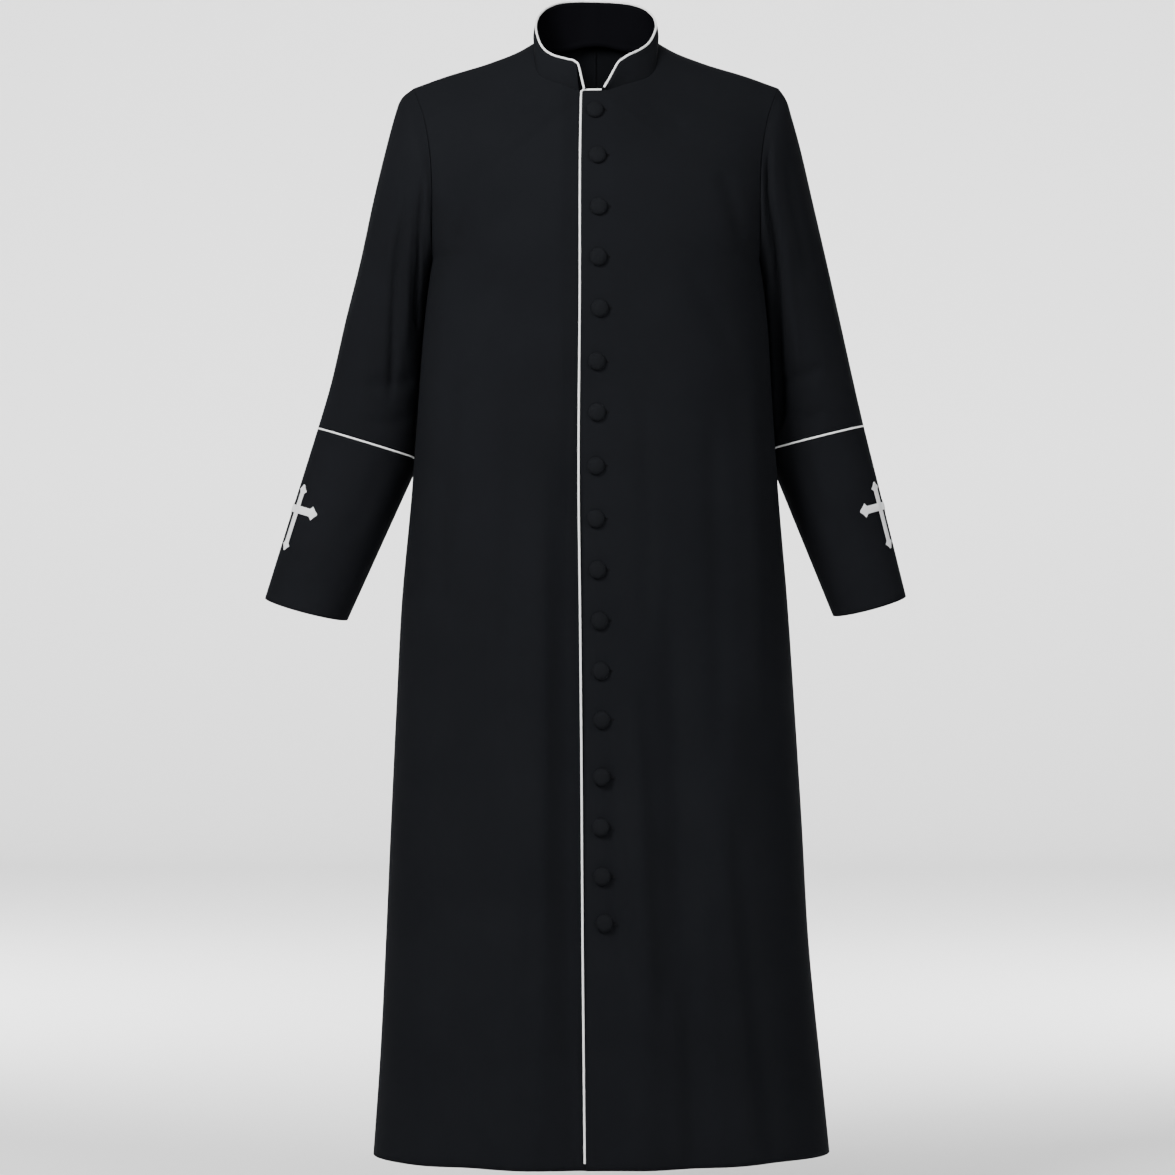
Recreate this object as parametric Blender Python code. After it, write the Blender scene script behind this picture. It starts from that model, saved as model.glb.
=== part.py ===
"""A long buttoned robe with a stand collar, worn shape, empty inside.

Metres, +Z up. The front faces -Y and the wearer's left is +X. The origin is the
middle of the neck base, where the wearer carries the garment.
"""

import math

import bmesh
import bpy
from mathutils import Vector
from mathutils.bvhtree import BVHTree

# Cloth and seams
BODY_WALL = 0.0016
CUFF_WALL = 0.0020
COLLAR_WALL = 0.0030
SEAM_GAP = 0.0003
PIPE_RADIUS = 0.0016
CUFF_PIPE_RADIUS = 0.0014

# Levels: below the underarm a level is a height, above it runs to the shoulder seam
HEM_Z = -1.385
UNDERARM_Z = -0.270
YOKE_SPAN = 0.250
SECTION_POWER = 2.3
SHOULDER_SHIFT_Y = 0.015
UNDERARM_HALF_WIDTH = 0.205
YOKE_FLARE = 0.055
CHEST_FRONT = 0.125
CHEST_BACK = 0.110
FRONT_CAP_POWER = 1.55
BACK_CAP_POWER = 2.20

# Shoulder seam's direction where it meets the sleeve: run outwards and fall
SHOULDER_RUN = 0.94
SHOULDER_FALL = 0.34

# Neck, the lap of the fronts and the room under the arms
NECK_SIDE_X = 0.0775
LEFT_COLLAR_END_X = 0.009
RIGHT_COLLAR_END_X = 0.0175
UNDERLAP = 0.020
UNDERLAP_DIP = 0.0036
DIP_FROM = -0.046
DIP_TO = -0.0245
EDGE_STEP = 0.0020
EDGE_TOP_Z = -0.060
LAP_STOP = 0.022
MIDDLE_STOP = 0.001
SLEEVE_CLEAR = 0.0028
SLEEVE_SOFT = 0.0025

# Small steps used to feel the way along a surface
LEVEL_STEP = 0.004
ANGLE_STEP = 0.01

# Grid counts: columns run from a side seam to the middle, and the back's seam over the
# shoulder blade follows column BACK_SPLIT
COLUMNS = 10
BACK_SPLIT = 5
SIDE_ROWS = 22
RING_POINTS = 24
FRONT_NECK_ROWS = 9
BACK_NECK_ROWS = 5
SLEEVE_RINGS = 18
CUFF_RINGS = 7

# Sections of the robe: height, half width on each hand, depth in front and behind
SECTION_COLUMNS = ("z", "right", "left", "front", "back")
SECTIONS = (
    (-1.385, 0.2780, 0.2915, 0.170, 0.160),
    (-1.269, 0.2700, 0.2800, 0.163, 0.152),
    (-1.119, 0.2625, 0.2655, 0.155, 0.144),
    (-0.969, 0.2560, 0.2570, 0.148, 0.136),
    (-0.819, 0.2490, 0.2475, 0.141, 0.129),
    (-0.694, 0.2425, 0.2390, 0.135, 0.122),
    (-0.569, 0.2310, 0.2285, 0.130, 0.116),
    (-0.444, 0.2215, 0.2200, 0.127, 0.113),
    (-0.340, 0.2135, 0.2135, 0.126, 0.111),
    (-0.270, 0.2050, 0.2050, 0.125, 0.110),
)

# Hem: x and its height
HEM_COLUMNS = ("x", "z")
HEM = (
    (-0.280, -1.3840),
    (-0.050, -1.3855),
    (0.050, -1.3850),
    (0.145, -1.3836),
    (0.230, -1.3806),
    (0.290, -1.3811),
)
HEM_REACH = 0.190

# Shoulder line: distance from the middle and its height
RIDGE_COLUMNS = ("x", "z")
RIDGE = (
    (0.0000, 0.0392),
    (0.0200, 0.0376),
    (0.0400, 0.0285),
    (0.0775, 0.0055),
    (0.0940, -0.0042),
    (0.1300, -0.0190),
    (0.1900, -0.0379),
    (0.2290, -0.0524),
    (0.2700, -0.0665),
)

# Armhole: share of the way from underarm to shoulder point, its distance from the middle
ARMHOLE_COLUMNS = ("share", "x")
ARMHOLE = (
    (0.0, 0.2050),
    (0.3, 0.2035),
    (0.6, 0.2070),
    (0.8, 0.2150),
    (1.0, 0.2290),
)

# Neckline from the middle to the shoulder seam, in degrees of its curve, and its height
NECK_COLUMNS = ("angle", "front", "back")
NECK = (
    (0.0, -0.0640, 0.0120),
    (10.0, -0.0613, 0.0110),
    (20.0, -0.0569, 0.0082),
    (30.0, -0.0535, 0.0055),
    (40.0, -0.0503, 0.0042),
    (50.0, -0.0467, 0.0037),
    (60.0, -0.0420, 0.0036),
    (70.0, -0.0332, 0.0040),
    (80.0, -0.0163, 0.0048),
    (90.0, 0.0055, 0.0055),
)

# Piped front edge: height and the x of the piping
EDGE_COLUMNS = ("z", "x")
EDGE = (
    (-1.385, -0.0142),
    (-1.119, -0.0170),
    (-0.894, -0.0185),
    (-0.694, -0.0204),
    (-0.569, -0.0218),
    (-0.320, -0.0204),
    (-0.110, -0.0190),
    (-0.060, -0.0172),
)

# Folds: face (-1 front, 1 back), x where each begins and at the hem, height where it
# begins and where it is full, height where it fades (below the hem if it doesn't),
# half width and height above the cloth (negative for a hollow)
FOLD_SOFTNESS = 1.6
FADE_HALF = 0.1
FOLD_COLUMNS = ("face", "x_top", "x_hem", "z_top", "z_full", "z_fade", "half", "rise")
FOLDS = (
    (-1, -0.042, -0.040, -0.430, -0.760, -1.290, 0.026, -0.0060),
    (-1, -0.080, -0.088, -0.520, -0.900, -1.600, 0.040, 0.0080),
    (-1, 0.030, 0.062, -0.640, -1.000, -1.600, 0.034, 0.0060),
    (-1, 0.090, 0.120, -0.700, -1.100, -1.600, 0.036, -0.0055),
    (-1, 0.135, 0.182, -0.560, -1.100, -1.600, 0.040, 0.0060),
    (-1, -0.140, -0.158, -0.620, -1.050, -1.600, 0.036, -0.0060),
    (-1, -0.180, -0.210, -0.600, -1.100, -1.600, 0.034, 0.0045),
    (1, 0.000, 0.000, -0.420, -0.900, -1.600, 0.045, 0.0070),
    (1, -0.075, -0.085, -0.480, -0.950, -1.600, 0.040, -0.0070),
    (1, 0.075, 0.085, -0.480, -0.950, -1.600, 0.040, -0.0070),
    (1, -0.130, -0.165, -0.560, -1.050, -1.600, 0.042, 0.0060),
    (1, 0.130, 0.165, -0.560, -1.050, -1.600, 0.042, 0.0060),
)

# Sleeve sections from armhole to cuff seam: outer and inner edge seen from the front,
# middle of the depth and half the depth. The armhole's own shape fades by CAP_FADE
SLEEVE_END = 8
CAP_FADE = 4.5
RING_BIAS = 1.25
SLEEVE_COLUMNS = ("s", "outer_x", "outer_z", "inner_x", "inner_z", "y", "half_depth")
RIGHT_SLEEVE = (
    (0, 0.2290, -0.0524, 0.2050, -0.2700, 0.008, 0.058),
    (1, 0.2440, -0.0655, 0.2075, -0.2765, 0.010, 0.064),
    (2, 0.2525, -0.0875, 0.2095, -0.2880, 0.014, 0.066),
    (3, 0.2645, -0.1312, 0.2115, -0.3060, 0.021, 0.066),
    (4, 0.2800, -0.1937, 0.2122, -0.3320, 0.029, 0.065),
    (5, 0.2965, -0.2687, 0.2120, -0.3660, 0.036, 0.064),
    (6, 0.3150, -0.3412, 0.2128, -0.4080, 0.041, 0.063),
    (7, 0.3330, -0.4187, 0.2165, -0.4600, 0.043, 0.060),
    (8, 0.3500, -0.4775, 0.2208, -0.5170, 0.042, 0.057),
)
LEFT_SLEEVE = (
    (0, 0.2290, -0.0524, 0.2050, -0.2700, 0.008, 0.058),
    (1, 0.2390, -0.0675, 0.2072, -0.2765, 0.010, 0.063),
    (2, 0.2455, -0.0880, 0.2092, -0.2880, 0.014, 0.065),
    (3, 0.2575, -0.1312, 0.2110, -0.3060, 0.021, 0.065),
    (4, 0.2725, -0.1937, 0.2112, -0.3320, 0.030, 0.064),
    (5, 0.2905, -0.2687, 0.2105, -0.3660, 0.039, 0.063),
    (6, 0.3075, -0.3412, 0.2100, -0.4080, 0.047, 0.061),
    (7, 0.3250, -0.4187, 0.2120, -0.4570, 0.051, 0.058),
    (8, 0.3378, -0.4743, 0.2140, -0.5053, 0.051, 0.055),
)
RIGHT_CUFF_END = (1, 0.4160, -0.6912, 0.3120, -0.7187, 0.030, 0.046)
LEFT_CUFF_END = (1, 0.3900, -0.6887, 0.2980, -0.7134, 0.034, 0.044)

# Piped rim of the collar: degrees round from the front, distance from the neck's
# middle, and its height on each hand
RIM_COLUMNS = ("angle", "radius", "left", "right")
RIM = (
    (8.0, 0.0708, -0.0605, -0.0760),
    (12.2, 0.0702, -0.0520, -0.0618),
    (15.0, 0.0701, -0.0460, -0.0480),
    (17.8, 0.0700, -0.0398, -0.0338),
    (22.0, 0.0698, -0.0308, -0.0280),
    (30.0, 0.0694, -0.0230, -0.0248),
    (50.0, 0.0706, -0.0112, -0.0175),
    (66.0, 0.0716, -0.0010, -0.0075),
    (82.0, 0.0732, 0.0130, 0.0080),
    (96.0, 0.0756, 0.0260, 0.0250),
    (113.0, 0.0762, 0.0418, 0.0425),
    (124.0, 0.0745, 0.0503, 0.0518),
    (137.0, 0.0700, 0.0569, 0.0589),
    (157.0, 0.0622, 0.0608, 0.0620),
    (180.0, 0.0585, 0.0621, 0.0621),
)

# Collar: rows of its wall, its slight bulge, where its end columns stand along the first
# step of the neckline, and where the cord starts on each hand (1 left, -1 right)
COLLAR_ROWS = 4
COLLAR_BELLY = 0.0015
COLLAR_END_SHARES = {1: (0.28, 0.62), -1: (0.30, 0.65)}
COLLAR_CORD_START = {1: 8.0, -1: 12.2}
COLLAR_CORD_STEP = 1.5

# Front cord: how far it stops short of the hem and of the collar, and its rounded corner
CORD_HEM_SHORT = 0.009
CORD_COLLAR_SHORT = 0.0022
CORD_CORNER = 0.0005
CORD_CORNER_REACH = 1.05
CUFF_CORD_SINK = 0.0004

# Covered buttons down the front: x and height of each, from the collar down. Each rests
# on the cloth felt at BUTTON_FEELS places on each of a few rings
BUTTON_RADIUS = 0.0110
BUTTON_RISE = 0.0062
BUTTON_FEELS = 16
BUTTON_RINGS = (1.0, 0.7, 0.4, 0.0)
BUTTON_COLUMNS = ("x", "z")
BUTTONS = (
    (-0.0013, -0.0894),
    (0.0018, -0.1472),
    (0.0034, -0.2119),
    (0.0027, -0.2739),
    (0.0046, -0.3367),
    (0.0010, -0.4019),
    (0.0010, -0.4639),
    (-0.0002, -0.5294),
    (-0.0002, -0.5941),
    (0.0017, -0.6566),
    (0.0045, -0.7187),
    (0.0057, -0.7799),
    (0.0069, -0.8394),
    (0.0069, -0.9089),
    (0.0058, -0.9699),
    (0.0074, -1.0294),
    (0.0103, -1.0864),
)

# Applied cross on each cuff
CROSS_GAP = 0.00035
CROSS_RISE = 0.0012
CROSS_SHARE = 0.4685
CROSS_TURN_DEG = 28.0
BAR_HALF = 0.0047
BARB_HALF = 0.0088
POINT_LENGTH = 0.0072
POINT_MIDDLE_HALF = 0.0042
TIP_HALF = 0.0007
NECK_LENGTH = 0.0034
CROSS_COLUMNS = ("across", "along", "length")
CROSS_ARMS = (
    (0.0, -1.0, 0.0320),
    (0.0, 1.0, 0.0535),
    (-1.0, 0.0, 0.0340),
    (1.0, 0.0, 0.0340),
)
BAR_STEPS = 4


def row_value(table, columns, key, name):
    """Smooth value of one column of a table, at key in its first column."""
    at = columns.index(name)
    keys = [row[0] for row in table]
    values = [row[at] for row in table]
    if key <= keys[0]:
        return values[0]
    if key >= keys[-1]:
        return values[-1]
    i = 0
    while keys[i + 1] < key:
        i += 1
    steps = [(values[k + 1] - values[k]) / (keys[k + 1] - keys[k]) for k in range(len(keys) - 1)]

    def slope(k):
        if k == 0:
            return steps[0]
        if k == len(steps):
            return steps[-1]
        before = keys[k] - keys[k - 1]
        after = keys[k + 1] - keys[k]
        return (steps[k - 1] * after + steps[k] * before) / (before + after)

    span = keys[i + 1] - keys[i]
    f = (key - keys[i]) / span
    h00 = 2 * f ** 3 - 3 * f ** 2 + 1
    h10 = f ** 3 - 2 * f ** 2 + f
    h01 = 3 * f ** 2 - 2 * f ** 3
    h11 = f ** 3 - f ** 2
    value = h00 * values[i] + h01 * values[i + 1]
    return value + span * (h10 * slope(i) + h11 * slope(i + 1))


def ease(value):
    """Smooth step from 0 to 1."""
    f = min(1.0, max(0.0, value))
    return f * f * (3 - 2 * f)


def power(value, exponent):
    """A power that keeps the value's sign."""
    return math.copysign(abs(value) ** exponent, value)


def ridge_z(x):
    """Height of the shoulder seam at a distance from the middle."""
    return row_value(RIDGE, RIDGE_COLUMNS, abs(x), "z")


def yoke_share(level):
    """0 at the underarm and below, 1 at the shoulder seam."""
    return max(0.0, (level - UNDERARM_Z) / YOKE_SPAN)


def half_width(hand, level):
    """Half width of the section at a level, on one hand (1 left, -1 right)."""
    share = yoke_share(level)
    if share > 0:
        return UNDERARM_HALF_WIDTH + YOKE_FLARE * share
    return row_value(SECTIONS, SECTION_COLUMNS, level, "left" if hand > 0 else "right")


def half_depth(face, level):
    """Half depth of the section at a level, in front (-1) or behind (1)."""
    share = min(1.0, yoke_share(level))
    if share > 0:
        exponent = FRONT_CAP_POWER if face < 0 else BACK_CAP_POWER
        chest = CHEST_FRONT if face < 0 else CHEST_BACK
        return chest * (1 - share ** exponent) ** (1 / exponent)
    return row_value(SECTIONS, SECTION_COLUMNS, level, "front" if face < 0 else "back")


def fold_rise(face, x, z):
    """How far the folds push the cloth out at a place."""
    total = 0.0
    for fold in FOLDS:
        row = dict(zip(FOLD_COLUMNS, fold))
        if row["face"] != face:
            continue
        down = (row["z_top"] - z) / (row["z_top"] - HEM_Z)
        if down <= 0:
            continue
        middle = row["x_top"] + (row["x_hem"] - row["x_top"]) * down
        strength = ease((row["z_top"] - z) / (row["z_top"] - row["z_full"]))
        strength *= 1 - ease((row["z_fade"] + FADE_HALF - z) / (2 * FADE_HALF))
        away = (x - middle) / row["half"]
        total += row["rise"] * strength * math.exp(-away * away * FOLD_SOFTNESS)
    return total


def body_point(hand, face, turn, level, dip=0.0):
    """A point of the robe's outside: turn from the middle of a face, and a level."""
    wide = half_width(hand, level)
    deep = half_depth(face, level)
    share = min(1.0, yoke_share(level))
    across = power(math.sin(turn), 2 / SECTION_POWER)
    out = power(math.cos(turn), 2 / SECTION_POWER)
    x = hand * wide * across
    y = face * deep * out + SHOULDER_SHIFT_Y * share
    z = level
    if share > 0:
        z = UNDERARM_Z + share * (ridge_z(x) - UNDERARM_Z)
    z += (row_value(HEM, HEM_COLUMNS, x, "z") - HEM_Z) * ease((HEM_Z + HEM_REACH - level) / HEM_REACH)
    push = fold_rise(face, x, z) - dip
    lean = Vector((x / wide ** 2, y / max(deep, 0.02) ** 2, 0))
    if lean.length > 0:
        lean.normalize()
    return Vector((x, y, z)) + lean * push


def turn_at(hand, level, x):
    """The turn at which a level's section lies x from the middle."""
    return math.asin(max(-1.0, min(1.0, power(x / half_width(hand, level), SECTION_POWER / 2))))


def no_dip(turn, level):
    """The cloth of a panel that nothing laps over."""
    return 0.0


def body_normal(hand, face, turn, level, dip=no_dip):
    """Outward normal of the robe's surface."""
    step = LEVEL_STEP

    def at(t, v):
        return body_point(hand, face, t, v, dip(t, v))

    top = min(level + step, UNDERARM_Z + YOKE_SPAN - step / 8)
    around = at(turn + step, level) - at(turn - step, level)
    up = at(turn, top) - at(turn, top - 2 * step)
    normal = around.cross(up).normalized()
    outward = Vector((math.sin(turn) * hand, math.cos(turn) * face, SHOULDER_FALL * yoke_share(level)))
    return normal if normal.dot(outward) > 0 else -normal


def ring_share(k):
    """Armhole share at ring point k, from the shoulder point down to the underarm."""
    return (1 + math.cos(2 * math.pi * k / RING_POINTS)) / 2


def armhole_turn(hand, share):
    """The turn at which the armhole crosses its level."""
    x = row_value(ARMHOLE, ARMHOLE_COLUMNS, share, "x")
    if share <= 0:
        return math.pi / 2
    return turn_at(hand, UNDERARM_Z + share * YOKE_SPAN, x)


def armhole_point(hand, face, share):
    """Point of the armhole's line on one hand and face."""
    return body_point(hand, face, armhole_turn(hand, share), UNDERARM_Z + share * YOKE_SPAN)


def armhole_frame(hand, face, share):
    """Point of the armhole, the cloth's normal there and the way out of the robe."""
    low = armhole_point(hand, face, max(0.0, share - LEVEL_STEP))
    high = armhole_point(hand, face, min(1.0, share + LEVEL_STEP))
    along = (high - low).normalized()
    level = UNDERARM_Z + share * YOKE_SPAN
    if share <= 0:
        return armhole_point(hand, face, 0), Vector((hand, 0, 0)), Vector((0, 0, 1))
    if share >= 1:
        normal = Vector((hand * SHOULDER_FALL, 0, SHOULDER_RUN))
        return armhole_point(hand, face, 1), normal, Vector((hand * SHOULDER_RUN, 0, -SHOULDER_FALL))
    normal = body_normal(hand, face, armhole_turn(hand, share), level)
    out = along.cross(normal).normalized()
    if out.x * hand < 0:
        out = -out
    return armhole_point(hand, face, share), normal, out


def neck_steps(face, hand):
    """The neckline from the collar's end, or the middle of the back, to the shoulder."""
    start = 0.0
    rows = BACK_NECK_ROWS
    if face < 0:
        start = LEFT_COLLAR_END_X if hand > 0 else RIGHT_COLLAR_END_X
        rows = FRONT_NECK_ROWS - 1
    steps = []
    for k in range(rows + 1):
        angle = 90 * k / rows
        x = start + (NECK_SIDE_X - start) * math.sin(math.radians(angle))
        z = row_value(NECK, NECK_COLUMNS, angle, "front" if face < 0 else "back")
        share = (z - UNDERARM_Z) / (ridge_z(x) - UNDERARM_Z)
        steps.append((x, UNDERARM_Z + min(1.0, share) * YOKE_SPAN))
    return steps


def edge_x(hand, z):
    """Where a front panel's middle edge lies, measured towards its own hand."""
    if hand > 0:
        return row_value(EDGE, EDGE_COLUMNS, z, "x") + EDGE_STEP
    return -UNDERLAP


def column_shares(hand, face, level, turn_a, turn_b, even):
    """Where the columns lie between side and middle; even is 1 for equal steps."""
    shares = [c / COLUMNS for c in range(COLUMNS + 1)]
    if face > 0:
        return shares
    stops = (LAP_STOP, MIDDLE_STOP) if hand > 0 else (-DIP_FROM, -DIP_TO, MIDDLE_STOP)
    free = COLUMNS - len(stops)
    turns = [turn_at(hand, level, stop) for stop in stops]
    placed = [(turn - turn_a) / (turn_b - turn_a) for turn in turns]
    set_shares = [placed[0] * c / free for c in range(free + 1)] + placed[1:] + [1.0]
    return [s + (e - s) * even for s, e in zip(set_shares, shares)]


def half_panel(hand, face):
    """Rows of (turn, level) for half of the robe's front or back."""
    half_ring = RING_POINTS // 2
    side = []
    for j in range(SIDE_ROWS):
        side.append((math.pi / 2, HEM_Z + (UNDERARM_Z - HEM_Z) * j / SIDE_ROWS))
    for k in range(half_ring + 1):
        share = ring_share(half_ring - k)
        side.append((armhole_turn(hand, share), UNDERARM_Z + share * YOKE_SPAN))
    neck = neck_steps(face, hand)
    if face < 0:
        top = neck[0][1]
        neck = [(edge_x(hand, EDGE_TOP_Z), top)] + neck
    straight = len(side) - len(neck)
    top = neck[0][1]
    middle = []
    for j in range(straight):
        level = HEM_Z + (top - HEM_Z) * j / straight
        x = edge_x(hand, level) if face < 0 else 0.0
        middle.append((turn_at(hand, level, x), level))
    for x, level in neck:
        middle.append((turn_at(hand, level, x), level))
    rows = []
    for j, ((turn_a, level_a), (turn_b, level_b)) in enumerate(zip(side, middle)):
        even = max(0.0, (j - straight) / (len(side) - 1 - straight))
        k = min(j, straight)
        shares = column_shares(hand, face, middle[k][1], side[k][0], middle[k][0], even)
        rows.append([(turn_a + (turn_b - turn_a) * f, level_a + (level_b - level_a) * f) for f in shares])
    return rows, straight


def right_dip(hand, face):
    """The right front dips where the left front laps over it."""

    def dip(turn, level):
        if face > 0 or hand > 0:
            return 0.0
        x = -half_width(hand, level) * power(math.sin(turn), 2 / SECTION_POWER)
        return UNDERLAP_DIP * ease((x - DIP_FROM) / (DIP_TO - DIP_FROM))

    return dip


def panel_points(hand, face, rows, straight, first, last):
    """Outer and inner points of columns first to last, drawn back from their seams."""
    outer = []
    inner = []
    dip = right_dip(hand, face)
    for j, row in enumerate(rows):
        for c in range(first, last + 1):
            turn, level = row[c]
            point = body_point(hand, face, turn, level, dip(turn, level))
            on_side = c == 0 and j <= SIDE_ROWS
            on_arm = c == 0 and j >= SIDE_ROWS
            on_top = j == len(rows) - 1
            on_middle = face > 0 and c == COLUMNS and j <= straight
            if on_top:
                fall = ridge_z(point.x + hand * LEVEL_STEP) - ridge_z(point.x)
                normal = Vector((-fall * hand, 0, LEVEL_STEP)).normalized()
            elif on_side:
                normal = Vector((hand, 0, 0))
            elif on_arm:
                normal = armhole_frame(hand, face, ring_share(len(rows) - 1 - j))[1]
            else:
                normal = body_normal(hand, face, turn, level, dip)
            if on_arm:
                share = ring_share(len(rows) - 1 - j)
                point = point - armhole_frame(hand, face, share)[2] * SEAM_GAP / 2
            if on_side or on_top:
                point = point + Vector((0, face * SEAM_GAP / 2, 0))
            if on_middle:
                point = point + Vector((hand * SEAM_GAP / 2, 0, 0))
                normal = Vector((0, normal.y, normal.z)).normalized()
            if 0 < c < COLUMNS and c in (first, last):
                along = body_point(hand, face, *row[c + 1]) - body_point(hand, face, *row[c - 1])
                point = point + along.normalized() * SEAM_GAP / 2 * (1 if c == first else -1)
            outer.append(point)
            inner.append(point - normal * BODY_WALL)
    return outer, inner


def grid_quads(rows, columns, around=False):
    """Faces of a grid of points, closed into a ring where around is true."""
    quads = []
    for j in range(rows - 1):
        for c in range(columns if around else columns - 1):
            d = (c + 1) % columns
            quads.append((j * columns + c, j * columns + d, (j + 1) * columns + d, (j + 1) * columns + c))
    return quads


def wall_object(name, outer, inner, quads, colour):
    """A closed wall: outer faces, inner faces, and a strip along every open edge."""
    count = len(outer)
    seen = {}
    for quad in quads:
        for a, b in zip(quad, quad[1:] + quad[:1]):
            seen[(a, b)] = True
    faces = [tuple(quad) for quad in quads]
    faces += [tuple(count + i for i in reversed(quad)) for quad in quads]
    for a, b in seen:
        if (b, a) not in seen:
            faces.append((b, a, count + a, count + b))
    mesh = bpy.data.meshes.new(name)
    mesh.from_pydata([tuple(p) for p in outer + inner], [], faces)
    build = bmesh.new()
    build.from_mesh(mesh)
    bmesh.ops.triangulate(build, faces=build.faces, quad_method="SHORT_EDGE")
    bmesh.ops.recalc_face_normals(build, faces=build.faces)
    if build.calc_volume(signed=True) < 0:
        bmesh.ops.reverse_faces(build, faces=build.faces)
    build.to_mesh(mesh)
    build.free()
    return link(name, mesh, colour)


def link(name, data, material):
    """Put a mesh or cord into the garment under its own name and colour."""
    thing = bpy.data.objects.new(name, data)
    data.materials.append(material)
    garment.objects.link(thing)
    return thing


def make_material(name, colour, roughness):
    """One plain finish."""
    material = bpy.data.materials.new(name)
    material.use_nodes = True
    shader = material.node_tree.nodes["Principled BSDF"]
    shader.inputs["Base Color"].default_value = (*colour, 1)
    shader.inputs["Roughness"].default_value = roughness
    return material


def make_piece(name, outer, inner, quads):
    """A cloth piece in the robe's own colour."""
    return wall_object(name, outer, inner, quads, make_material(name + "_cloth", CLOTH, 0.85))


def make_panel(name, hand, face, first, last):
    """Columns first to last of a half of the robe, and their edge on the neckline's side."""
    rows, straight = half_panel(hand, face)
    outer, inner = panel_points(hand, face, rows, straight, first, last)
    count = last - first + 1
    make_piece(name, outer, inner, grid_quads(len(rows), count))
    return [outer[j * count + count - 1] for j in range(straight, len(rows))]


def oval(row, angle):
    """Point of a sleeve section: angle 0 at its outer edge, turning to the front."""
    outer = Vector((row["outer_x"], 0, row["outer_z"]))
    inner = Vector((row["inner_x"], 0, row["inner_z"]))
    middle = (outer + inner) / 2 + Vector((0, row["y"], 0))
    reach = (outer - inner) / 2
    return middle + reach * math.cos(angle) - Vector((0, row["half_depth"] * math.sin(angle), 0))


def clear_of_robe(hand, point):
    """Move a sleeve's point out until it just clears the robe's side."""
    if point.z > UNDERARM_Z - 0.004:
        return point
    face = -1 if point.y < 0 else 1
    wide = half_width(hand, point.z) + SLEEVE_CLEAR
    deep = half_depth(face, point.z) + SLEEVE_CLEAR
    share = (abs(point.y) / deep) ** SECTION_POWER
    if share >= 1:
        return point
    short = wide * (1 - share) ** (1 / SECTION_POWER) - point.x
    if short <= -SLEEVE_SOFT:
        return point
    push = short if short >= SLEEVE_SOFT else (short + SLEEVE_SOFT) ** 2 / (4 * SLEEVE_SOFT)
    return Vector((point.x + push, point.y, point.z))


def sleeve_row(table, s):
    """One sleeve section, read between the stations of its table."""
    return {name: row_value(table, SLEEVE_COLUMNS, s, name) for name in SLEEVE_COLUMNS[1:]}


def sleeve_point(hand, s, angle):
    """Outside of a sleeve: s is 0 at the armhole and SLEEVE_END at the cuff seam."""
    table = LEFT_SLEEVE if hand > 0 else RIGHT_SLEEVE
    point = oval(sleeve_row(table, s), angle)
    fade = 1 - ease(s / CAP_FADE)
    if fade > 0:
        share = (1 + math.cos(angle)) / 2
        face = -1 if math.sin(angle) >= 0 else 1
        real = armhole_point(hand, face, share)
        base = oval(dict(zip(SLEEVE_COLUMNS[1:], table[0][1:])), angle)
        point = point + (Vector((real.x * hand, real.y, real.z)) - base) * fade
    point = clear_of_robe(hand, point)
    return Vector((point.x * hand, point.y, point.z))


def cuff_point(hand, share, angle):
    """Outside of a cuff: share is 0 at its seam and 1 at its end."""
    table = LEFT_SLEEVE if hand > 0 else RIGHT_SLEEVE
    end = LEFT_CUFF_END if hand > 0 else RIGHT_CUFF_END
    row = {}
    for k, name in enumerate(SLEEVE_COLUMNS):
        row[name] = table[-1][k] + (end[k] - table[-1][k]) * share
    point = clear_of_robe(hand, oval(row, angle))
    return Vector((point.x * hand, point.y, point.z))


def tube_normal(surface, hand, s, angle):
    """Outward normal of a sleeve or cuff."""
    step = ANGLE_STEP
    low = max(0.0, s - step)
    around = surface(hand, s, angle + step) - surface(hand, s, angle - step)
    along = surface(hand, low + 2 * step, angle) - surface(hand, low, angle)
    normal = around.cross(along).normalized()
    middle = (surface(hand, s, angle) + surface(hand, s, angle + math.pi)) / 2
    return normal if normal.dot(surface(hand, s, angle) - middle) > 0 else -normal


def ring_angle(k):
    """Angle of one point of a sleeve's ring."""
    return 2 * math.pi * k / RING_POINTS


def make_sleeve(name, hand):
    """A sleeve from the armhole to just short of the cuff piping."""
    outer = []
    inner = []
    for j in range(SLEEVE_RINGS + 1):
        s = SLEEVE_END * (j / SLEEVE_RINGS) ** RING_BIAS
        for k in range(RING_POINTS):
            angle = ring_angle(k)
            point = sleeve_point(hand, s, angle)
            normal = tube_normal(sleeve_point, hand, max(s, 3 * ANGLE_STEP), angle)
            offset = -normal * BODY_WALL
            if j == 0:
                share = (1 + math.cos(angle)) / 2
                face = -1 if math.sin(angle) >= 0 else 1
                out = armhole_frame(hand, face, share)[2]
                if k in (0, RING_POINTS // 2):
                    shoulder = Vector((hand * SHOULDER_RUN, 0, -SHOULDER_FALL))
                    out = shoulder if k == 0 else Vector((0, 0, 1))
                point = point + out * SEAM_GAP / 2
                toward = offset.dot(out)
                if toward < 0:
                    offset = (offset - out * toward).normalized() * BODY_WALL
            if j == SLEEVE_RINGS:
                down = (cuff_point(hand, 0.1, angle) - cuff_point(hand, 0, angle)).normalized()
                point = point - down * (CUFF_PIPE_RADIUS + SEAM_GAP)
            outer.append(point)
            inner.append(point + offset)
    quads = grid_quads(SLEEVE_RINGS + 1, RING_POINTS, True)
    return make_piece(name, outer, inner, quads)


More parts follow.
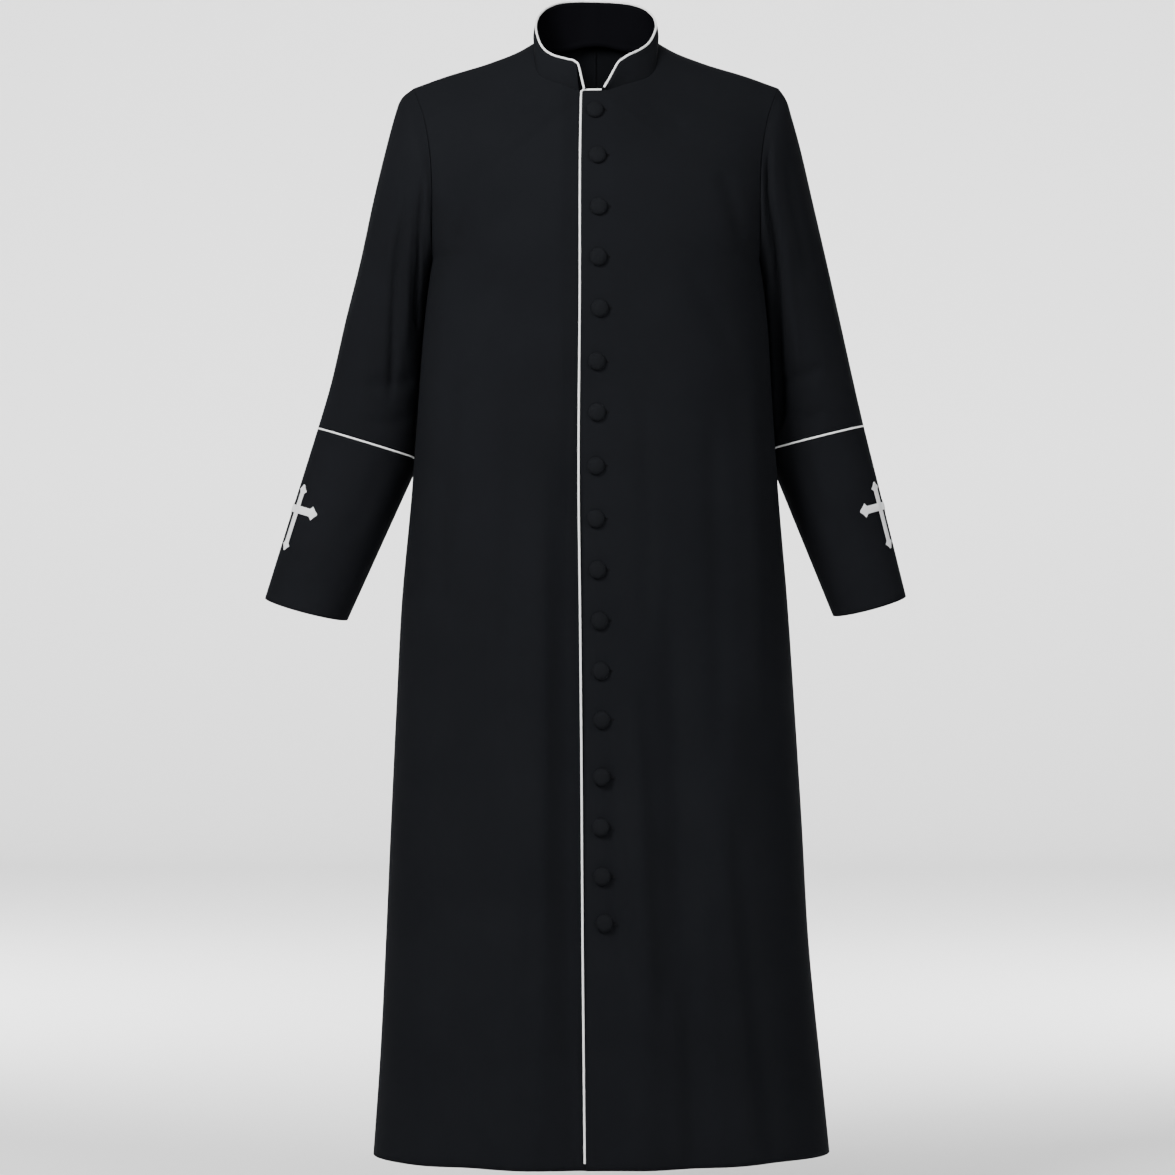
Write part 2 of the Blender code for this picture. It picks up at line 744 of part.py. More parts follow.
def make_cuff(name, hand):
    """A deep cuff from just below its cord to its open end."""
    outer = []
    inner = []
    for j in range(CUFF_RINGS):
        for k in range(RING_POINTS):
            angle = ring_angle(k)
            share = j / (CUFF_RINGS - 1)
            point = cuff_point(hand, share, angle)
            if j == 0:
                down = (cuff_point(hand, 0.1, angle) - point).normalized()
                point = point + down * (CUFF_PIPE_RADIUS + SEAM_GAP)
            outer.append(point)
            normal = tube_normal(cuff_point, hand, min(share, 1 - 3 * ANGLE_STEP), angle)
            inner.append(point - normal * CUFF_WALL)
    quads = grid_quads(CUFF_RINGS, RING_POINTS, True)
    return make_piece(name, outer, inner, quads)


def make_pipe(name, points, radius, closed):
    """A round cord along a line of points."""
    curve = bpy.data.curves.new(name, "CURVE")
    curve.dimensions = "3D"
    curve.bevel_depth = radius
    curve.bevel_resolution = 1
    curve.use_fill_caps = not closed
    line = curve.splines.new("POLY")
    line.points.add(len(points) - 1)
    for slot, point in zip(line.points, points):
        slot.co = (*point, 1)
    line.use_cyclic_u = closed
    return link(name, curve, make_material(name + "_white", WHITE, 0.6))


def make_cuff_pipe(name, hand):
    """The cord in the seam between a sleeve and its cuff."""
    points = []
    for k in range(RING_POINTS):
        point = cuff_point(hand, 0, ring_angle(k))
        normal = tube_normal(cuff_point, hand, 0, ring_angle(k))
        points.append(point - normal * CUFF_CORD_SINK)
    make_pipe(name, points, CUFF_PIPE_RADIUS, True)


def edge_frame(x, level):
    """Middle of the left front's wall at its edge, and the way up along the cloth."""
    turn = turn_at(1, level, x)
    point = body_point(1, -1, turn, level)
    up = (point - body_point(1, -1, turn, level - LEVEL_STEP)).normalized()
    return point - body_normal(1, -1, turn, level) * BODY_WALL / 2, up


def make_front_pipe():
    """The cord up the left front's edge, round its top corner and along its top."""
    points = []
    offset = SEAM_GAP + PIPE_RADIUS
    rows, straight = half_panel(1, -1)
    top = rows[straight][-1][1]
    levels = [HEM_Z + CORD_HEM_SHORT] + [rows[j][-1][1] for j in range(1, straight)]
    for level in levels + [top - CORD_CORNER]:
        x = edge_x(1, level)
        points.append(edge_frame(x, level)[0] - Vector((offset, 0, 0)))
    x_left = edge_x(1, EDGE_TOP_Z)
    for degrees in (30, 60):
        angle = math.radians(degrees)
        point, up = edge_frame(x_left, top)
        away = up * math.sin(angle) - Vector((math.cos(angle), 0, 0))
        points.append(point + away * offset * CORD_CORNER_REACH)
    for x in (x_left + CORD_CORNER, LEFT_COLLAR_END_X - CORD_COLLAR_SHORT):
        point, up = edge_frame(x, top)
        points.append(point + up * offset)
    make_pipe("front_piping", points, PIPE_RADIUS, False)


def rim_point(hand, angle):
    """Middle of the collar's cord, so many degrees round from the front."""
    radius = row_value(RIM, RIM_COLUMNS, angle, "radius")
    z = row_value(RIM, RIM_COLUMNS, angle, "left" if hand > 0 else "right")
    turn = math.radians(angle)
    return Vector((hand * radius * math.sin(turn), -radius * math.cos(turn), z))


def rim_frame(hand, angle):
    """Rim point, outward direction and the direction down the collar's face."""
    turn = math.radians(angle)
    outward = Vector((hand * math.sin(turn), -math.cos(turn), 0))
    along = rim_point(hand, angle + 1) - rim_point(hand, angle - 1)
    down = along.cross(outward).normalized()
    if down.z > 0:
        down = -down
    return rim_point(hand, angle), outward, down


def collar_base(necks, fronts):
    """Columns of the collar's base from its left end round the back to its right end."""
    columns = []
    for hand in (1, -1):
        front = fronts[hand][1:]
        back = necks[hand]
        side = [front[0].lerp(front[1], f) for f in COLLAR_END_SHARES[hand]]
        side += front[1:-1]
        side.append((front[-1] + back[-1]) / 2)
        side += back[-2:0:-1]
        side = [(hand, p) for p in side]
        if hand > 0:
            columns = side + [(1, back[0])]
        else:
            columns += side[::-1]
    return columns


def make_collar(columns):
    """A standing band whose top is cut away to a notch in front."""
    outer = []
    inner = []
    for hand, base in columns:
        angle = math.degrees(math.atan2(abs(base.x), -base.y))
        rim, outward, down = rim_frame(hand, angle)
        foot = base + Vector((0, 0, SEAM_GAP))
        top = rim + down * (PIPE_RADIUS + SEAM_GAP) + outward * COLLAR_WALL / 2
        for j in range(COLLAR_ROWS + 1):
            f = j / COLLAR_ROWS
            belly = outward * COLLAR_BELLY * math.sin(math.pi * f)
            point = foot.lerp(top, f) + belly
            outer.append(point)
            inner.append(point - outward * COLLAR_WALL)
    make_piece("collar", outer, inner, grid_quads(len(columns), COLLAR_ROWS + 1))


def make_collar_pipe(columns):
    """The cord down both ends of the collar and round its rim."""
    points = []
    first = COLLAR_CORD_START
    for hand, base in columns:
        angle = math.degrees(math.atan2(abs(base.x), -base.y))
        points.append(rim_point(hand, max(angle, first[hand] + COLLAR_CORD_STEP)))
    points = [rim_point(1, first[1])] + points + [rim_point(-1, first[-1])]
    make_pipe("collar_piping", points, PIPE_RADIUS, False)


def make_button(name, tree, x, z):
    """A domed covered button resting just clear of the front."""
    hits = []
    quarter = BUTTON_FEELS // 4
    for share in BUTTON_RINGS:
        for k in range(BUTTON_FEELS):
            angle = 2 * math.pi * k / BUTTON_FEELS
            across = x + BUTTON_RADIUS * share * math.cos(angle)
            up = z + BUTTON_RADIUS * share * math.sin(angle)
            hits.append(tree.ray_cast(Vector((across, 2 * HEM_Z, up)), Vector((0, 1, 0)))[0])
    middle = hits[-1]
    normal = (hits[0] - hits[2 * quarter]).cross(hits[quarter] - hits[3 * quarter]).normalized()
    lift = max((hit - middle).dot(normal) for hit in hits) + SEAM_GAP
    build = bmesh.new()
    bmesh.ops.create_uvsphere(build, u_segments=12, v_segments=6, radius=1)
    everything = build.verts[:] + build.edges[:] + build.faces[:]
    cut = bmesh.ops.bisect_plane(build, geom=everything, plane_co=(0, 0, 0), plane_no=(0, 0, -1),
                                 dist=1e-5, clear_outer=True)
    edges = [item for item in cut["geom_cut"] if isinstance(item, bmesh.types.BMEdge)]
    bmesh.ops.contextual_create(build, geom=edges)
    bmesh.ops.scale(build, vec=(BUTTON_RADIUS, BUTTON_RADIUS, BUTTON_RISE), verts=build.verts)
    turn = Vector((0, 0, 1)).rotation_difference(normal)
    bmesh.ops.rotate(build, matrix=turn.to_matrix(), verts=build.verts)
    bmesh.ops.translate(build, vec=middle + normal * lift, verts=build.verts)
    bmesh.ops.recalc_face_normals(build, faces=build.faces)
    mesh = bpy.data.meshes.new(name)
    build.to_mesh(mesh)
    build.free()
    link(name, mesh, make_material(name + "_cloth", CLOTH, 0.7))


def cross_plan():
    """Flat points (across, along) of the cross and its faces."""
    b = BAR_HALF
    points = [(i * b, j * b) for j in (-1, 0, 1) for i in (-1, 0, 1)]
    quads = [(0, 1, 4, 3), (1, 2, 5, 4), (3, 4, 7, 6), (4, 5, 8, 7)]
    starts = {(0.0, -1.0): (2, 1, 0), (0.0, 1.0): (6, 7, 8), (-1.0, 0.0): (0, 3, 6), (1.0, 0.0): (8, 5, 2)}
    for arm in CROSS_ARMS:
        across, along, length = (arm[CROSS_COLUMNS.index(name)] for name in ("across", "along", "length"))
        last = starts[(across, along)]
        side = (-along, across)
        bar_end = length - POINT_LENGTH - NECK_LENGTH
        stations = [(b + (bar_end - b) * k / BAR_STEPS, b) for k in range(1, BAR_STEPS + 1)]
        stations.append((bar_end + NECK_LENGTH, BARB_HALF))
        stations.append((length - POINT_LENGTH / 2, POINT_MIDDLE_HALF))
        stations.append((length, TIP_HALF))
        for reach, half in stations:
            here = []
            for sign in (1, 0, -1):
                u = across * reach + side[0] * half * sign
                v = along * reach + side[1] * half * sign
                here.append(len(points))
                points.append((u, v))
            if points_apart(points, last, here) > points_apart(points, last, here[::-1]):
                here = here[::-1]
            quads.append((last[0], last[1], here[1], here[0]))
            quads.append((last[1], last[2], here[2], here[1]))
            last = tuple(here)
    return points, quads


def points_apart(points, first, second):
    """Sum of the distances between two rows of plan points."""
    return sum(math.dist(points[a], points[b]) for a, b in zip(first, second))


def make_cross(name, hand):
    """A cross laid on a cuff: its points follow the cuff and are moved out."""
    plan, quads = cross_plan()
    turn = math.radians(CROSS_TURN_DEG)
    centre = cuff_point(hand, CROSS_SHARE, turn)
    per_turn = (cuff_point(hand, CROSS_SHARE, turn + ANGLE_STEP) - centre).length / ANGLE_STEP
    per_share = (cuff_point(hand, CROSS_SHARE + ANGLE_STEP, turn) - centre).length / ANGLE_STEP
    outer = []
    inner = []
    for across, along in plan:
        share = CROSS_SHARE + along / per_share
        angle = turn + across / per_turn
        point = cuff_point(hand, share, angle)
        normal = tube_normal(cuff_point, hand, share, angle)
        outer.append(point + normal * (CROSS_GAP + CROSS_RISE))
        inner.append(point + normal * CROSS_GAP)
    wall_object(name, outer, inner, quads, make_material(name + "_white", PALE, 0.7))


for old in list(bpy.data.objects):
    bpy.data.objects.remove(old, do_unlink=True)

CLOTH = (0.011, 0.012, 0.014)
WHITE = (0.86, 0.86, 0.86)
PALE = (0.72, 0.72, 0.73)

garment = bpy.data.collections.new("cassock")
bpy.context.scene.collection.children.link(garment)

front_necks = {}
back_necks = {}
for side_name, side_hand in (("left", 1), ("right", -1)):
    front_necks[side_hand] = make_panel("front_" + side_name, side_hand, -1, 0, COLUMNS)
    back_necks[side_hand] = make_panel("back_" + side_name, side_hand, 1, BACK_SPLIT, COLUMNS)
    make_panel("back_side_" + side_name, side_hand, 1, 0, BACK_SPLIT)
    make_sleeve("sleeve_" + side_name, side_hand)
    make_cuff("cuff_" + side_name, side_hand)
    make_cuff_pipe("cuff_piping_" + side_name, side_hand)
    make_cross("cross_" + side_name, side_hand)

collar_columns = collar_base(back_necks, front_necks)
make_collar(collar_columns)
make_collar_pipe(collar_columns)
make_front_pipe()

front_mesh = bpy.data.objects["front_left"].data
front_tree = BVHTree.FromPolygons(
    [v.co.copy() for v in front_mesh.vertices], [tuple(p.vertices) for p in front_mesh.polygons])
for number, row in enumerate(BUTTONS, 1):
    place = dict(zip(BUTTON_COLUMNS, row))
    make_button("button_%02d" % number, front_tree, place["x"], place["z"])
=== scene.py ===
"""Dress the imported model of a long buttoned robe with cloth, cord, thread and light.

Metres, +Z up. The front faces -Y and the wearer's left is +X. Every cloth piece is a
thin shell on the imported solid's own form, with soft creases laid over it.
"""
import logging
import math
from dataclasses import dataclass
from enum import Enum

import bpy
import numpy as np
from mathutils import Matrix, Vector


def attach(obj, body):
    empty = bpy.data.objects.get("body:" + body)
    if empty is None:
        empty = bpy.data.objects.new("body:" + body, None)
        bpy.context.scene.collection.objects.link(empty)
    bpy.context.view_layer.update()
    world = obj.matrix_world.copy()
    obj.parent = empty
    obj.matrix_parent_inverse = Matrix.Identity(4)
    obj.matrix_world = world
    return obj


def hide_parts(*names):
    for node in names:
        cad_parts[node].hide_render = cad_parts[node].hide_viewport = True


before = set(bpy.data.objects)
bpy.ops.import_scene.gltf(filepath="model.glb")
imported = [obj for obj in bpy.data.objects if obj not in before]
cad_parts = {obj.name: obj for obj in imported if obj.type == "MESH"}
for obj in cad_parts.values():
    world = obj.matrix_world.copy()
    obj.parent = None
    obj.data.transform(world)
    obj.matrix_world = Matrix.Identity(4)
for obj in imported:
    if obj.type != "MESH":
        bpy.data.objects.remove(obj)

LOG = logging.getLogger("cassock")
BODY = "root"
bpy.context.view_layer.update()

Array = np.ndarray
Socket = bpy.types.NodeSocket
Object = bpy.types.Object
Mesh = bpy.types.Mesh
Material = bpy.types.Material
Pair = tuple[float, float]
Triple = tuple[float, float, float]
Rows = tuple[tuple[float, ...], ...]


class Side(Enum):
    """A side of the robe, as the sign of its coordinate."""

    @property
    def word(self) -> str:
        """The side's name in the names of pieces and columns."""
        return self.name.lower()


class Hand(Side):
    """The wearer's hand that a piece is on, as the sign of its x."""

    LEFT = 1
    RIGHT = -1

    @property
    def mirror(self) -> Array:
        """Signs that turn a point drawn for the left hand to this one."""
        return np.array([self.value, 1, 1])


class Face(Side):
    """The front or the back of the robe, as the sign of its y."""

    FRONT = -1
    BACK = 1


class Hold(Enum):
    """How a sheet of cloth is held."""

    HUNG = "hung"
    STRETCHED = "stretched"


def ease(value: Array) -> Array:
    """Smooth step from 0 to 1."""
    f = np.clip(value, 0.0, 1.0)
    return f * f * (3 - 2 * f)


def signed_power(value: Array, exponent: float) -> Array:
    """A power that keeps the value's sign."""
    return np.copysign(np.abs(value) ** exponent, value)


def unit(vectors: Array) -> Array:
    """Vectors of length 1 along the last axis."""
    size = np.linalg.norm(vectors, axis=-1, keepdims=True)
    return vectors / np.maximum(size, 1e-12)


def stack(x: Array, y: Array, z: Array) -> Array:
    """One array of points from their three coordinates."""
    return np.stack(np.broadcast_arrays(x, y, z), axis=-1)


def run_lengths(points: Array, axis: int) -> Array:
    """Distance along a grid from its first row or column.

    Args:
        points: Grid of points, rows by columns by 3.
        axis: 0 to run up the rows, 1 to run across the columns.

    Returns:
        The running distance at each point.
    """
    steps = np.linalg.norm(np.diff(points, axis=axis), axis=-1)
    start = np.zeros_like(np.take(steps, [0], axis=axis))
    return np.concatenate([start, np.cumsum(steps, axis=axis)], axis=axis)


def ring_angles(count: int) -> Array:
    """Evenly spaced angles once round, in radians."""
    return np.linspace(0, 2 * math.pi, count, endpoint=False)


def put(name: str, data: bpy.types.ID) -> Object:
    """Add an object to the scene.

    Args:
        name: Its name.
        data: Its mesh, light or camera.

    Returns:
        The object.
    """
    thing = bpy.data.objects.new(name, data)
    bpy.context.scene.collection.objects.link(thing)
    return thing


@dataclass(frozen=True)
class Table:
    """A short table with named columns, read smoothly by its first column."""

    columns: tuple[str, ...]
    rows: Rows

    def read(self, key: Array, name: str) -> Array:
        """Smooth values of one column.

        Args:
            key: Places in the first column.
            name: The column to read.

        Returns:
            The column's value at each place, held level past both ends.
        """
        keys = np.array([row[0] for row in self.rows])
        values = np.array([row[self.columns.index(name)] for row in self.rows])
        gaps = np.diff(keys)
        steps = np.diff(values) / gaps
        inner = (steps[:-1] * gaps[1:] + steps[1:] * gaps[:-1]) / (gaps[:-1] + gaps[1:])
        slopes = np.concatenate([steps[:1], inner, steps[-1:]])
        place = np.clip(np.asarray(key, dtype=float), keys[0], keys[-1])
        i = np.clip(np.searchsorted(keys, place, side="right") - 1, 0, len(gaps) - 1)
        span = gaps[i]
        f = (place - keys[i]) / span
        value = values[i] + (values[i + 1] - values[i]) * ease(f)
        bend = (f ** 3 - 2 * f ** 2 + f) * slopes[i] + (f ** 3 - f ** 2) * slopes[i + 1]
        return value + span * bend


@dataclass(frozen=True)
class Crease:
    """A soft trough (negative rise) or ridge along a path on the cloth."""

    path: Rows
    half: float
    rise: float
    ends: float = 0.25
    skew: float = 0.0
    steps: int = 6
    end_width: float = 0.65
    softness: float = 1.6

    def line(self) -> Array:
        """The path, rounded through its points.

        Returns:
            Points along the path.
        """
        spots = np.array(self.path)
        count = len(spots)
        if count == 2:
            return spots
        padded = np.vstack([2 * spots[0] - spots[1], spots, 2 * spots[-1] - spots[-2]])
        out = []
        for k in range(count - 1):
            p0, p1, p2, p3 = padded[k:k + 4]
            bend, twist = 2 * p0 - 5 * p1 + 4 * p2 - p3, 3 * p1 - p0 - 3 * p2 + p3
            for f in np.linspace(0, 1, self.steps, endpoint=False):
                out.append(0.5 * (2 * p1 + (p2 - p0) * f + bend * f ** 2 + twist * f ** 3))
        return np.array(out + [spots[-1]])

    def lift(self, a: Array, b: Array) -> Array:
        """How far the crease lifts the cloth.

        Args:
            a: First coordinate of each place on the cloth, in metres.
            b: Second coordinate of each place.

        Returns:
            The lift at each place, in metres.
        """
        line = self.line()
        whole = np.linalg.norm(np.diff(line, axis=0), axis=1).sum()
        best = np.full(np.shape(a), np.inf)
        place = np.zeros(np.shape(a))
        side = np.zeros(np.shape(a))
        done = 0.0
        for start, end in zip(line[:-1], line[1:]):
            way = end - start
            size = float(np.hypot(*way))
            f = np.clip(((a - start[0]) * way[0] + (b - start[1]) * way[1]) / size ** 2, 0, 1)
            off_a = a - start[0] - f * way[0]
            off_b = b - start[1] - f * way[1]
            away = np.hypot(off_a, off_b)
            near = away < best
            best = np.where(near, away, best)
            place = np.where(near, (done + f * size) / whole, place)
            side = np.where(near, np.sign(off_a * way[1] - off_b * way[0]), side)
            done += size
        strength = ease(place / self.ends) * ease((1 - place) / self.ends)
        share = self.end_width + (1 - self.end_width) * strength
        width = self.half * share * (1 + self.skew * side)
        return self.rise * strength * np.exp(-self.softness * (best / width) ** 2)


def lifts(creases: tuple[Crease, ...], a: Array, b: Array) -> Array:
    """Sum of what a set of creases lifts at each place."""
    return sum((crease.lift(a, b) for crease in creases), np.zeros(np.shape(a)))


@dataclass(frozen=True)
class RobeForm:
    """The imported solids' own surfaces, read at any place."""

    hem_z: float = -1.385
    underarm_z: float = -0.270
    yoke_span: float = 0.250
    section_power: float = 2.3
    shoulder_shift_y: float = 0.015
    least_depth: float = 0.020
    underarm_half_width: float = 0.205
    yoke_flare: float = 0.055
    chest_front: float = 0.125
    chest_back: float = 0.110
    front_cap_power: float = 1.55
    back_cap_power: float = 2.20
    neck_side_x: float = 0.0775
    left_collar_end_x: float = 0.009
    right_collar_end_x: float = 0.0175
    underlap: float = 0.020
    underlap_dip: float = 0.0036
    dip_from: float = -0.046
    dip_to: float = -0.0245
    edge_step: float = 0.0020
    edge_top_z: float = -0.060
    top_edge_fall: float = 0.0004
    hem_reach: float = 0.190
    side_rows: int = 22
    arm_rows: int = 12
    front_neck_rows: int = 8
    back_neck_rows: int = 5
    sleeve_end: float = 8.0
    cap_fade: float = 4.5
    sleeve_clear: float = 0.0028
    upper_clear_share: float = 0.15
    clear_from: float = 4.0
    clear_span: float = 3.5
    clear_below: float = 0.004
    sleeve_soft: float = 0.0025
    underarm_rest: float = 0.0050
    rest_in: float = 0.8
    rest_out_from: float = 3.5
    rest_out: float = 2.5
    rest_power: int = 4
    fold_softness: float = 1.6
    fade_half: float = 0.1
    sections: Table = Table(
        ("z", "right", "left", "front", "back"),
        (
            (-1.385, 0.2780, 0.2915, 0.170, 0.160),
            (-1.269, 0.2700, 0.2800, 0.163, 0.152),
            (-1.119, 0.2625, 0.2655, 0.155, 0.144),
            (-0.969, 0.2560, 0.2570, 0.148, 0.136),
            (-0.819, 0.2490, 0.2475, 0.141, 0.129),
            (-0.694, 0.2425, 0.2390, 0.135, 0.122),
            (-0.569, 0.2310, 0.2285, 0.130, 0.116),
            (-0.444, 0.2215, 0.2200, 0.127, 0.113),
            (-0.340, 0.2135, 0.2135, 0.126, 0.111),
            (-0.270, 0.2050, 0.2050, 0.125, 0.110),
        ),
    )
    hem: Table = Table(
        ("x", "z"),
        ((-0.280, -1.3840), (-0.050, -1.3855), (0.050, -1.3850),
         (0.145, -1.3836), (0.230, -1.3806), (0.290, -1.3811)),
    )
    ridge: Table = Table(
        ("x", "z"),
        ((0.0000, 0.0392), (0.0200, 0.0376), (0.0400, 0.0285), (0.0775, 0.0055), (0.0940, -0.0042),
         (0.1300, -0.0190), (0.1900, -0.0379), (0.2290, -0.0524), (0.2700, -0.0665)),
    )
    armhole: Table = Table(
        ("share", "x"),
        ((0.0, 0.2050), (0.3, 0.2035), (0.6, 0.2070), (0.8, 0.2150), (1.0, 0.2290)),
    )
    neck: Table = Table(
        ("angle", "front", "back"),
        (
            (0.0, -0.0640, 0.0120), (10.0, -0.0613, 0.0110), (20.0, -0.0569, 0.0082),
            (30.0, -0.0535, 0.0055), (40.0, -0.0503, 0.0042), (50.0, -0.0467, 0.0037),
            (60.0, -0.0420, 0.0036), (70.0, -0.0332, 0.0040), (80.0, -0.0163, 0.0048),
            (90.0, 0.0055, 0.0055),
        ),
    )
    edge: Table = Table(
        ("z", "x"),
        ((-1.385, -0.0142), (-1.119, -0.0170), (-0.894, -0.0185), (-0.694, -0.0204),
         (-0.569, -0.0218), (-0.320, -0.0204), (-0.110, -0.0190), (-0.060, -0.0172)),
    )
    # Main folds: face, x at the top and at the hem, height where each begins, is full
    # and fades, half width, and rise above the cloth
    folds: Rows = (
        (-1, -0.042, -0.040, -0.430, -0.760, -1.290, 0.026, -0.0060),
        (-1, -0.080, -0.088, -0.520, -0.900, -1.600, 0.040, 0.0080),
        (-1, 0.030, 0.062, -0.640, -1.000, -1.600, 0.034, 0.0060),
        (-1, 0.090, 0.120, -0.700, -1.100, -1.600, 0.036, -0.0055),
        (-1, 0.135, 0.182, -0.560, -1.100, -1.600, 0.040, 0.0060),
        (-1, -0.140, -0.158, -0.620, -1.050, -1.600, 0.036, -0.0060),
        (-1, -0.180, -0.210, -0.600, -1.100, -1.600, 0.034, 0.0045),
        (1, 0.000, 0.000, -0.420, -0.900, -1.600, 0.045, 0.0070),
        (1, -0.075, -0.085, -0.480, -0.950, -1.600, 0.040, -0.0070),
        (1, 0.075, 0.085, -0.480, -0.950, -1.600, 0.040, -0.0070),
        (1, -0.130, -0.165, -0.560, -1.050, -1.600, 0.042, 0.0060),
        (1, 0.130, 0.165, -0.560, -1.050, -1.600, 0.042, 0.0060),
    )
    sleeve_columns: tuple[str, ...] = (
        "s", "outer_x", "outer_z", "inner_x", "inner_z", "y", "half_depth")
    right_sleeve: Rows = (
        (0, 0.2290, -0.0524, 0.2050, -0.2700, 0.008, 0.058),
        (1, 0.2440, -0.0655, 0.2075, -0.2765, 0.010, 0.064),
        (2, 0.2525, -0.0875, 0.2095, -0.2880, 0.014, 0.066),
        (3, 0.2645, -0.1312, 0.2115, -0.3060, 0.021, 0.066),
        (4, 0.2800, -0.1937, 0.2122, -0.3320, 0.029, 0.065),
        (5, 0.2965, -0.2687, 0.2120, -0.3660, 0.036, 0.064),
        (6, 0.3150, -0.3412, 0.2128, -0.4080, 0.041, 0.063),
        (7, 0.3330, -0.4187, 0.2165, -0.4600, 0.043, 0.060),
        (8, 0.3500, -0.4775, 0.2208, -0.5170, 0.042, 0.057),
    )
    left_sleeve: Rows = (
        (0, 0.2290, -0.0524, 0.2050, -0.2700, 0.008, 0.058),
        (1, 0.2390, -0.0675, 0.2072, -0.2765, 0.010, 0.063),
        (2, 0.2455, -0.0880, 0.2092, -0.2880, 0.014, 0.065),
        (3, 0.2575, -0.1312, 0.2110, -0.3060, 0.021, 0.065),
        (4, 0.2725, -0.1937, 0.2112, -0.3320, 0.030, 0.064),
        (5, 0.2905, -0.2687, 0.2105, -0.3660, 0.039, 0.063),
        (6, 0.3075, -0.3412, 0.2100, -0.4080, 0.047, 0.061),
        (7, 0.3250, -0.4187, 0.2120, -0.4570, 0.051, 0.058),
        (8, 0.3378, -0.4743, 0.2140, -0.5053, 0.051, 0.055),
    )
    right_cuff_end: tuple[float, ...] = (1, 0.4160, -0.6912, 0.3120, -0.7187, 0.030, 0.046)
    left_cuff_end: tuple[float, ...] = (1, 0.3900, -0.6887, 0.2980, -0.7134, 0.034, 0.044)
    cuff_bow: float = 0.0048
    cuff_bow_power: int = 3
    rim: Table = Table(
        ("angle", "radius", "left", "right"),
        (
            (8.0, 0.0708, -0.0605, -0.0760), (12.2, 0.0702, -0.0520, -0.0618),
            (15.0, 0.0701, -0.0460, -0.0480), (17.8, 0.0700, -0.0398, -0.0338),
            (22.0, 0.0698, -0.0308, -0.0280), (30.0, 0.0694, -0.0230, -0.0248),
            (50.0, 0.0706, -0.0112, -0.0175),
            (66.0, 0.0716, -0.0010, -0.0075), (82.0, 0.0732, 0.0130, 0.0080),
            (96.0, 0.0756, 0.0260, 0.0250), (113.0, 0.0762, 0.0418, 0.0425),
            (124.0, 0.0745, 0.0503, 0.0518), (137.0, 0.0700, 0.0569, 0.0589),
            (157.0, 0.0622, 0.0608, 0.0620), (180.0, 0.0585, 0.0621, 0.0621),
        ),
    )

    def yoke_share(self, level: Array) -> Array:
        """0 at the underarm and below, 1 at the shoulder seam."""
        return np.maximum(0.0, (level - self.underarm_z) / self.yoke_span)

    def yoke_level(self, share: Array) -> Array:
        """The level at a share of the yoke."""
        return self.underarm_z + share * self.yoke_span

    def share_at(self, x: Array, z: Array) -> Array:
        """Share of the yoke at the place that is seen at x and z from the front."""
        return (z - self.underarm_z) / (self.ridge.read(np.abs(x), "z") - self.underarm_z)

    def half_width(self, hand: Hand, level: Array) -> Array:
        """Half width of the section at a level, on one hand."""
        above = self.underarm_half_width + self.yoke_flare * self.yoke_share(level)
        return np.where(level > self.underarm_z, above, self.sections.read(level, hand.word))

    def half_depth(self, face: Face, level: Array) -> Array:
        """Half depth of the section at a level, in front or behind.

        Args:
            face: The front or the back.
            level: Level of each place.

        Returns:
            The half depth at each level.
        """
        front = face is Face.FRONT
        share = np.minimum(1.0, self.yoke_share(level))
        exponent = self.front_cap_power if front else self.back_cap_power
        chest = self.chest_front if front else self.chest_back
        above = chest * (1 - share ** exponent) ** (1 / exponent)
        return np.where(share > 0, above, self.sections.read(level, face.word))

    def fold_rise(self, face: Face, x: Array, z: Array) -> Array:
        """How far the main folds push the cloth out at a place.

        Args:
            face: The front or the back.
            x: Sideways place of each point.
            z: Height of each place.

        Returns:
            The push at each place.
        """
        total = np.zeros(np.shape(x))
        for side, x_top, x_hem, z_top, z_full, z_fade, half, rise in self.folds:
            if side != face.value:
                continue
            down = (z_top - z) / (z_top - self.hem_z)
            middle = x_top + (x_hem - x_top) * down
            strength = ease((z_top - z) / (z_top - z_full))
            strength = strength * (1 - ease((z_fade + self.fade_half - z) / (2 * self.fade_half)))
            away = (x - middle) / half
            total = total + rise * strength * np.exp(-away * away * self.fold_softness)
        return total

    def body(self, hand: Hand, face: Face, turn: Array, level: Array,
             dip: Array | float = 0.0) -> Array:
        """Points of the robe's outside.

        Args:
            hand: The half of the robe.
            face: Its front or its back.
            turn: Turn from the middle of the face, in radians.
            level: Height below the underarm, share of the yoke above it.
            dip: How far the cloth lies further in.

        Returns:
            The points.
        """
        wide = self.half_width(hand, level)
        deep = self.half_depth(face, level)
        share = np.minimum(1.0, self.yoke_share(level))
        x = hand.value * wide * signed_power(np.sin(turn), 2 / self.section_power)
        out = signed_power(np.cos(turn), 2 / self.section_power)
        y = face.value * deep * out + self.shoulder_shift_y * share
        raised = self.underarm_z + share * (self.ridge.read(np.abs(x), "z") - self.underarm_z)
        z = np.where(share > 0, raised, level)
        near_hem = ease((self.hem_z + self.hem_reach - level) / self.hem_reach)
        z = z + (self.hem.read(x, "z") - self.hem_z) * near_hem
        push = self.fold_rise(face, x, z) - dip
        thick = np.maximum(deep, self.least_depth)
        lean = unit(stack(x / wide ** 2, y / thick ** 2, np.zeros_like(x)))
        return stack(x, y, z) + lean * push[..., None]

    def turn_at(self, hand: Hand, level: Array, x: Array) -> Array:
        """The turn at which a level's section lies x from the middle."""
        across = signed_power(x / self.half_width(hand, level), self.section_power / 2)
        return np.arcsin(np.clip(across, -1, 1))

    def level_at(self, x: Array, z: Array) -> Array:
        """The level of the place that is seen at x and z from the front."""
        return np.where(z > self.underarm_z, self.yoke_level(self.share_at(x, z)), z)

